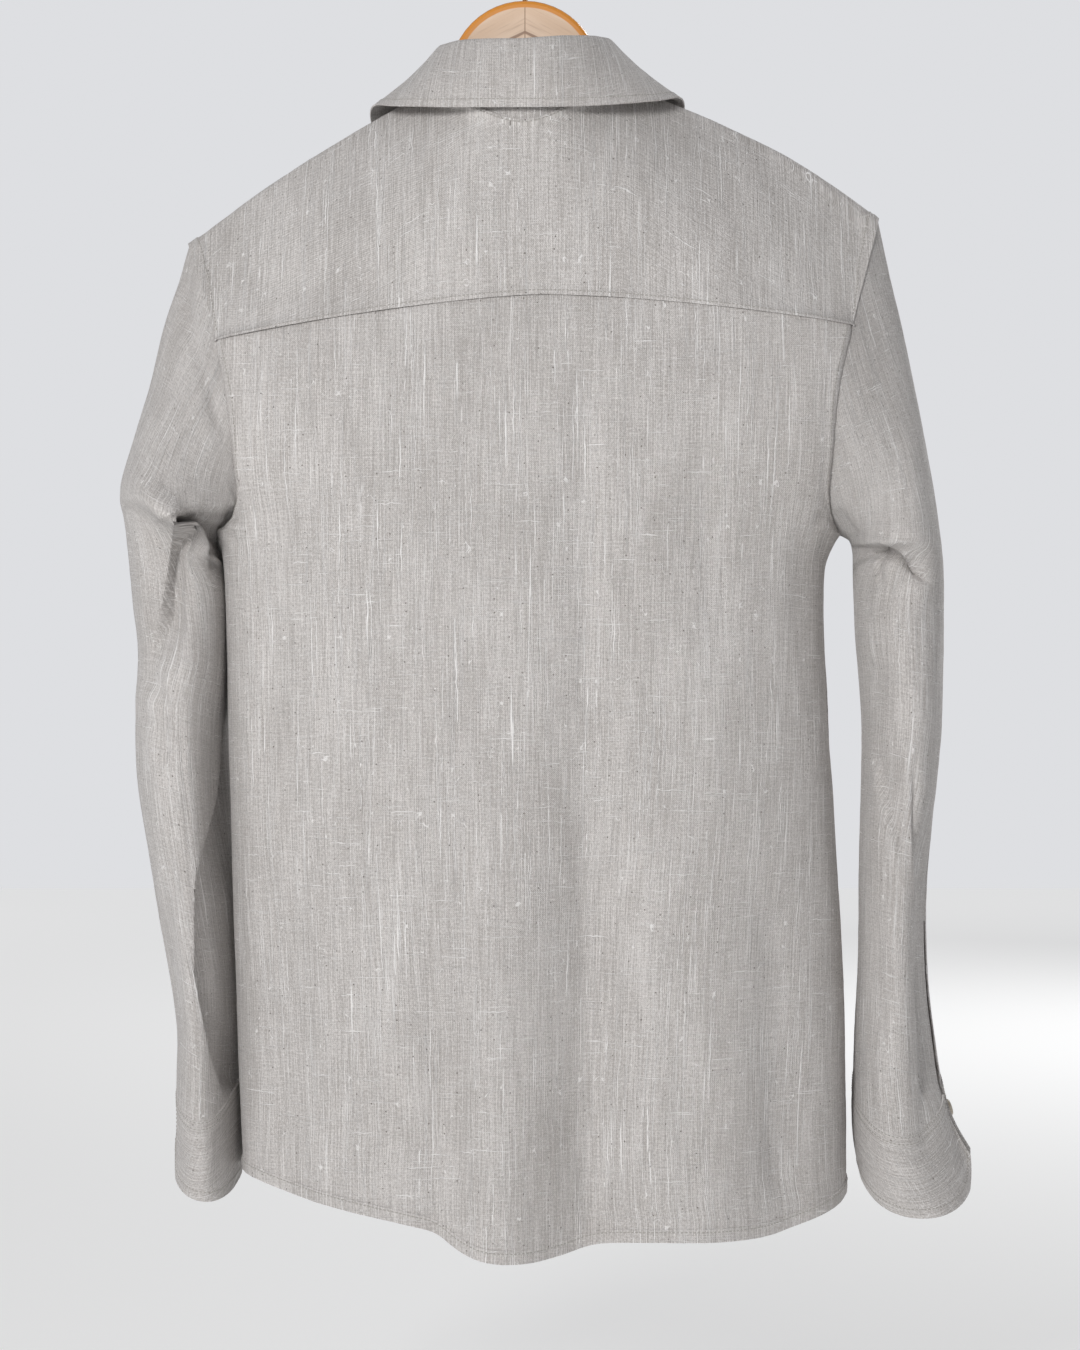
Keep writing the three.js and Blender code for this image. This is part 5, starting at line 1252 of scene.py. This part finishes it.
horn, tree, shader = new_material("button_horn", Roughness=0.25, Coat_Weight=0.4, Coat_Roughness=0.1)
cloud = ramp(tree, object_noise(tree, 260.0, 3.0, 1.5), 0.35, 0.65)
tree.links.new(blend_colour(tree, cloud, (0.46, 0.4, 0.32, 1), (0.66, 0.6, 0.5, 1)), shader.inputs["Base Color"])
thread, tree, shader = new_material("sewing_thread", Roughness=0.7, Sheen_Weight=0.3)
twist = object_noise(tree, 2600.0, 1.0)
# The thread's dark tones are partly painted shade, for the needle dents beside each stitch.
colour = blend_colour(tree, twist, (0.27, 0.25, 0.225, 1), (0.44, 0.42, 0.39, 1))
tree.links.new(colour, shader.inputs["Base Color"])
bump(tree, shader, twist, 0.0001, 0.5)

# %% [markdown]
# ## Stitches and teeth
# A seam is a row of some hundred equal stitches, and a zip is two rows of equal teeth. One stitch and one tooth are
# modelled in millimetres. Then each row is one mesh with a copy of the model at every place on its line.

# %% One stitch and one tooth
def taken_model():
    """The vertices and faces of the object just modelled, which is then removed."""
    bpy.ops.object.mode_set(mode="OBJECT")
    piece = bpy.context.object
    model = (np.array([v.co for v in piece.data.vertices]), [tuple(p.vertices) for p in piece.data.polygons])
    bpy.data.objects.remove(piece, do_unlink=True)
    return model


bpy.ops.mesh.primitive_uv_sphere_add(segments=6, ring_count=4, radius=0.5)
bpy.ops.object.mode_set(mode="EDIT")
bpy.ops.mesh.select_all(action="SELECT")
bpy.ops.transform.resize(value=(2.1, 0.85, 0.6))
stitch_model = taken_model()

bpy.ops.mesh.primitive_cube_add(size=1)
bpy.ops.object.mode_set(mode="EDIT")
bpy.ops.mesh.select_all(action="SELECT")
bpy.ops.transform.resize(value=(3.4, 2.2, 1.2))
bpy.ops.mesh.bevel(offset=0.28, segments=2, affect="EDGES")
tooth_model = taken_model()


# %% [markdown]
# ## Rows of copies
# A row of stitches or teeth is one mesh. Its places are worked out along a line that lies on the cloth, and each
# copy is turned to follow the line.

# %% Rows of copies
def dressed(piece, material, body, node=None):
    piece.data.materials.clear()
    piece.data.materials.append(material)
    if node is not None:
        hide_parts(node)
    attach(piece, body)
    return piece


def copies(name, model, places, material, node=None):
    """One mesh with the model at each place. A place is a centre and the directions of the model's x, y and z."""
    shape, model_faces = model
    points, faces = [], []
    for centre, x_way, y_way, z_way in places:
        start = len(points) * len(shape)
        points.append(centre + shape[:, :1] * x_way + shape[:, 1:2] * y_way + shape[:, 2:] * z_way)
        faces += [tuple(start + k for k in face) for face in model_faces]
    piece = mesh_piece(name, np.concatenate(points), faces)
    smooth_shading(piece, 40)
    return dressed(piece, material, "garment", node)


def unit(vectors):
    return vectors / np.linalg.norm(vectors, axis=-1, keepdims=True)


def stitch_places(line, ups, lift, pitch=2.7):
    length = np.concatenate([[0], np.cumsum(np.linalg.norm(np.diff(line, axis=0), axis=-1))])
    at = np.arange(pitch / 2, length[-1] - 0.5, pitch)

    def read(values, where):
        return np.stack([np.interp(where, length, values[:, k]) for k in range(3)], -1)

    along = unit(read(line, at + 0.6) - read(line, at - 0.6))
    up = unit(read(ups, at))
    return list(zip(read(line, at) + up * lift, along, np.cross(up, along), up))


def sewn(name, grid, rows, flip=False, thickness=CLOTH, part=None):
    """Stitch rows on a grid, each an edge and a distance from it, or from it and a share of its length."""
    up = grid_normals(grid, flip)
    places = []
    for edge, distance in rows:
        line, ups = inset_line(grid, up, edge, distance)
        if part is not None:
            line, ups = line[part[edge]], ups[part[edge]]
        places += stitch_places(line, ups, thickness / 2 + 0.06)
    return copies(name, stitch_model, places, thread)


# %% [markdown]
# ## Sewing
# The rows of stitches follow the seams at the distances that a sewing machine's foot gives: about 1.5 mm and 6 mm
# from an edge. Rows beside an armhole end at the armpit.

# %% Sewing
YOKE_STITCH_LIFT = 0.4
whole = slice(None)
to_pit = slice(0, np.argmin(np.abs(back_rows - ARMHOLE_CELLS)) + 1)
sewn("stitches_back", back_grid, [("first", 6), ("last", 6), ("bottom", 6.6)],
                              part={"first": to_pit, "last": to_pit, "bottom": whole})
on_left, on_right = yoke_columns <= SHOULDER_CELLS, yoke_columns >= SHOULDER_CELLS + BACK_CELLS
on_seam = ~on_left & ~on_right
yoke_up = grid_normals(yoke_grid)
seam_line, seam_up = inset_line(yoke_grid, yoke_up, "bottom", 1.6 + YOKE_LAP)
arm_line, arm_up = inset_line(yoke_grid, yoke_up, "bottom", 6 + YOKE_LAP)
yoke_rows = [(seam_line[on_seam], seam_up[on_seam])]
yoke_rows += [(arm_line[half], arm_up[half]) for half in (on_left, on_right)]
edge_rows = (("first", 2), ("last", 2), ("top", 1.6))
yoke_rows += [inset_line(yoke_grid, yoke_up, edge, away) for edge, away in edge_rows]
yoke_places = [place for row in yoke_rows for place in stitch_places(*row, YOKE_STITCH_LIFT)]
copies("stitches_yoke", stitch_model, yoke_places, thread)
front_pit = slice(0, np.argmin(np.abs(front_rows - ARMHOLE_CELLS)) + 1)
from_neck = slice(np.argmin(np.abs(front_rows - NECK_CELLS)), None)
for side in ("left", "right"):
    sewn(
        f"stitches_front_{side}", front_grids[side], [("first", 6), ("last", 6), ("bottom", 6.6)], side == "right",
        part={"first": from_neck, "last": front_pit, "bottom": whole})
    cuff_rows = [("top", 1.6), ("top", 6), ("bottom", 6), ("first", 5), ("last", 5)]
    sewn(
        f"stitches_cuff_{side}", cuff_grids[side], cuff_rows, side == "right", CUFF_CLOTH)
sewn(
    "stitches_collar", fall_grid, [("bottom", 5.5), ("first", 5.5), ("last", 5.5)], thickness=COLLAR_CLOTH)

# %% [markdown]
# ## The zip
# The tapes lie behind the edges of the fronts and reach to the teeth. Each tooth of one side stands in the gap
# between two teeth of the other side.

# %% Zip tapes and teeth
TAPE_SET_IN = 1.2
TEETH_SET_IN = 0.9
TOOTH_PITCH = 2.6


def beside_zip(side, distance, set_in):
    """A line down the zip at a distance from its middle, behind the face of the front."""
    rows = front_rows >= NECK_CELLS
    grid, up = front_grids[side][rows], front_ups[side][rows]
    away = distance - ZIP_HALF_GAP
    if away > 0:
        line = np.array([[np.interp(away, length, line[:, k]) for k in range(3)]
                         for line, length in zip(grid, line_lengths(grid))])
    else:
        line = grid[:, 0] + unit(grid[:, 1] - grid[:, 0]) * away
    return line - up[:, 0] * set_in


TAPE_LINES = (0.9, 2, 4, 8, 12, 15.4, 16)  # distances of the tape's lines from the middle of the zip
STOP_HEIGHT = 10   # of the bottom stop above the hem
FIRST_TOOTH = 14   # height of the first tooth above the hem
BELOW_CHAIN = 6    # of the last tooth below the top of the chain

for side in ("left", "right"):
    tape = np.stack([beside_zip(side, distance, TAPE_SET_IN) for distance in TAPE_LINES], 1)
    uv = np.stack([line_lengths(tape), -tape[..., 2]], -1) * MM
    piece = cloth_piece(f"zip_tape_cloth_{side}", tape, uv, flip=side == "right")
    dressed(piece, tape_cloth, "garment", f"zip_tape_{side}")
zip_line = (beside_zip("left", 0, TEETH_SET_IN) + beside_zip("right", 0, TEETH_SET_IN)) / 2
zip_z, zip_y = zip_line[::-1, 2], zip_line[::-1, 1]
top_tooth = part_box("zip_chain")[1][2] / MM - BELOW_CHAIN
teeth = []
for k, z in enumerate(np.arange(zip_z[0] + FIRST_TOOTH, top_tooth, TOOTH_PITCH / 2)):
    y, ahead = np.interp([z, z + 1], zip_z, zip_y)
    up_way = unit(np.array([0, ahead - y, 1.0]))
    side = 1 if k % 2 else -1
    x_way = np.array([side, 0.0, 0.0])
    teeth.append((np.array([side * 0.9, y, z]), x_way, np.cross(up_way, x_way), up_way))
low_z = zip_z[0] + STOP_HEIGHT
low_y = np.interp(low_z, zip_z, zip_y)
teeth.append((np.array([0, low_y, low_z]), *np.diag([1.35, 1.25, 5.0])))
copies("zip_teeth", tooth_model, teeth, zip_metal, "zip_chain")
print("zip", len(teeth) - 1, "teeth and one stop")

# %% [markdown]
# ## Slider, pull, hook and buttons
# The slider, its pull and the hook have the right form in the CAD model, but sharp cut edges. Metal parts have a
# small round on each edge, which is where they catch the light, so a copy of each is bevelled or subdivided.

# %% Rounded metal
EDGE_ROUND = {"segments": 3, "limit_method": "ANGLE", "angle_limit": math.radians(40)}


def rounded(name, node, material, slot, body, kind, **settings):
    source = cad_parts[node]
    piece = bpy.data.objects.new(name, source.data.copy())
    bpy.context.scene.collection.objects.link(piece)
    apply_modifier(piece, "WELD", merge_threshold=0.00001)
    apply_modifier(piece, kind, **settings)
    smooth_shading(piece, 40)
    dressed(piece, material, body, node)


rounded("slider", "zip_slider", zip_metal, "zip_metal", "garment", "BEVEL", width=0.00028, **EDGE_ROUND)
rounded("pull_tab", "zip_pull", zip_metal, "zip_metal", "zip_pull", "BEVEL", width=0.0002, **EDGE_ROUND)
rounded("hook", "hanger_hook", hook_steel, "hook_steel", "garment", "SUBSURF", levels=2, render_levels=2)

# %% [markdown]
# ## The cuff buttons
# One button is modelled in edit mode: a disc with rounded rims and a sunk middle. It is copied to both cuffs, and
# two crossed stitches hold each copy.

# %% One button
BUTTON_SIDES = 48
STITCH_HEIGHT = 0.95  # of the thread's crossing above the middle of the button


def select_faces(wanted):
    """Selects the faces, of the mesh in edit mode, that a test lets through."""
    bpy.ops.mesh.select_all(action="DESELECT")
    shape = bmesh.from_edit_mesh(bpy.context.object.data)
    for face in shape.faces:
        face.select_set(wanted(face))
    bmesh.update_edit_mesh(bpy.context.object.data)


bpy.ops.mesh.primitive_cylinder_add(vertices=BUTTON_SIDES, radius=5.5, depth=2.2)
bpy.ops.object.mode_set(mode="EDIT")
select_faces(lambda face: abs(face.normal.z) > 0.9)
bpy.ops.mesh.bevel(offset=0.5, segments=3, affect="EDGES")
select_faces(lambda face: face.normal.z > 0.99 and len(face.verts) == BUTTON_SIDES)
bpy.ops.mesh.inset(thickness=1.0)
bpy.ops.mesh.inset(thickness=0.4, depth=-0.45)
button_model = taken_model()
for side in ("left", "right"):
    low, high = (np.array(corner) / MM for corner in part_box(f"button_{side}"))
    middle = (low + high) / 2
    nearest = np.argmin(np.linalg.norm(cuff_grids[side].reshape(-1, 3) - middle, axis=1))
    up = cuff_ups[side].reshape(-1, 3)[nearest]
    across = unit(np.cross(up, [0, 0, 1.0]))
    down = np.cross(up, across)
    copies(f"horn_button_{side}", button_model, [(middle, across, down, up)], horn, f"button_{side}")
    face = middle + up * STITCH_HEIGHT
    one_way, other_way = unit(across + down), unit(across - down)
    crossed = [(face, one_way * 1.3, other_way * 1.4, up), (face, other_way * 1.3, one_way * 1.4, up)]
    copies(f"button_thread_{side}", stitch_model, crossed, thread)

# %% [markdown]
# ## The linen pieces take over from their solids
# Every linen piece stands for the solid whose form it has. The hanger's solid is already right, so it is shown as
# it is, in maple.

# %% Frame calls
for node in ("back", "back_yoke", "front_left", "front_right", "collar_stand", "collar_fall", "sleeve_left",
             "sleeve_right", "cuff_left", "cuff_right"):
    dressed(bpy.data.objects["linen_" + node.removeprefix("back_")], linen, "garment", node)
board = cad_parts["hanger_wood"]
board.data.materials.clear()
board.data.materials.append(wood)

# %% [markdown]

# %% [markdown]
# ## Light and floor
# The room is a plain pale floor and a pale backdrop. The floor also glows with painted light: a little for every
# ray, so it lights the shirt from below, and more for the camera towards the distance, where it fades into the
# backdrop. A small lamp near the camera, on the left of the picture, models the folds of the back, and a larger one
# lights the front.

# %% Light and floor
def strength_by_ray(tree, more, base):
    """The strength with which a surface shines, and how much more of it a camera ray meets."""
    seen = add_node(tree, "ShaderNodeLightPath").outputs["Is Camera Ray"]
    return calc(tree, "MULTIPLY_ADD", seen, more, base)


bpy.ops.mesh.primitive_plane_add(size=14, location=(0, 0, -1.05))
floor = bpy.context.object
floor.name = "floor"
floor_material, tree, shader = new_material(
    "pale_floor", Base_Color=(0.65, 0.65, 0.645, 1), Roughness=0.9, Emission_Color=(1, 1, 1, 1))
place = add_node(tree, "ShaderNodeTexCoord").outputs["Object"]
# Painted glow of the floor: 0.28 for every ray, plus a camera-only glow that grows with distance, brightening the
# far floor.
far = ramp(tree, add_node(tree, "ShaderNodeVectorMath", {0: place}, operation="LENGTH").outputs["Value"], 1.5, 6.5)
tree.links.new(strength_by_ray(tree, calc(tree, "MULTIPLY", far, 0.22), 0.28), shader.inputs["Emission Strength"])
floor.data.materials.append(floor_material)
world = bpy.data.worlds.new("studio")
bpy.context.scene.world = world
world.use_nodes = True
backdrop = world.node_tree.nodes["Background"]
backdrop.inputs["Color"].default_value = (0.96, 0.97, 1, 1)
world.node_tree.links.new(strength_by_ray(world.node_tree, 0.4, 0.36), backdrop.inputs["Strength"])


def area_light(name, place, aim, size, power):
    direction = Vector(aim) - Vector(place)
    bpy.ops.object.light_add(type="AREA", location=place, rotation=direction.to_track_quat("-Z", "Y").to_euler())
    light = bpy.context.object
    light.name = name
    light.data.shape = "DISK"
    light.data.size = size
    light.data.energy = power


area_light("key_light", (1.15, 2.85, 0.22), (0, 0, -0.45), 0.7, 57)
area_light("front_light", (-2, -3.4, 1.2), (0, 0, -0.5), 1.8, 72)
bpy.context.scene.view_settings.view_transform = "Standard"
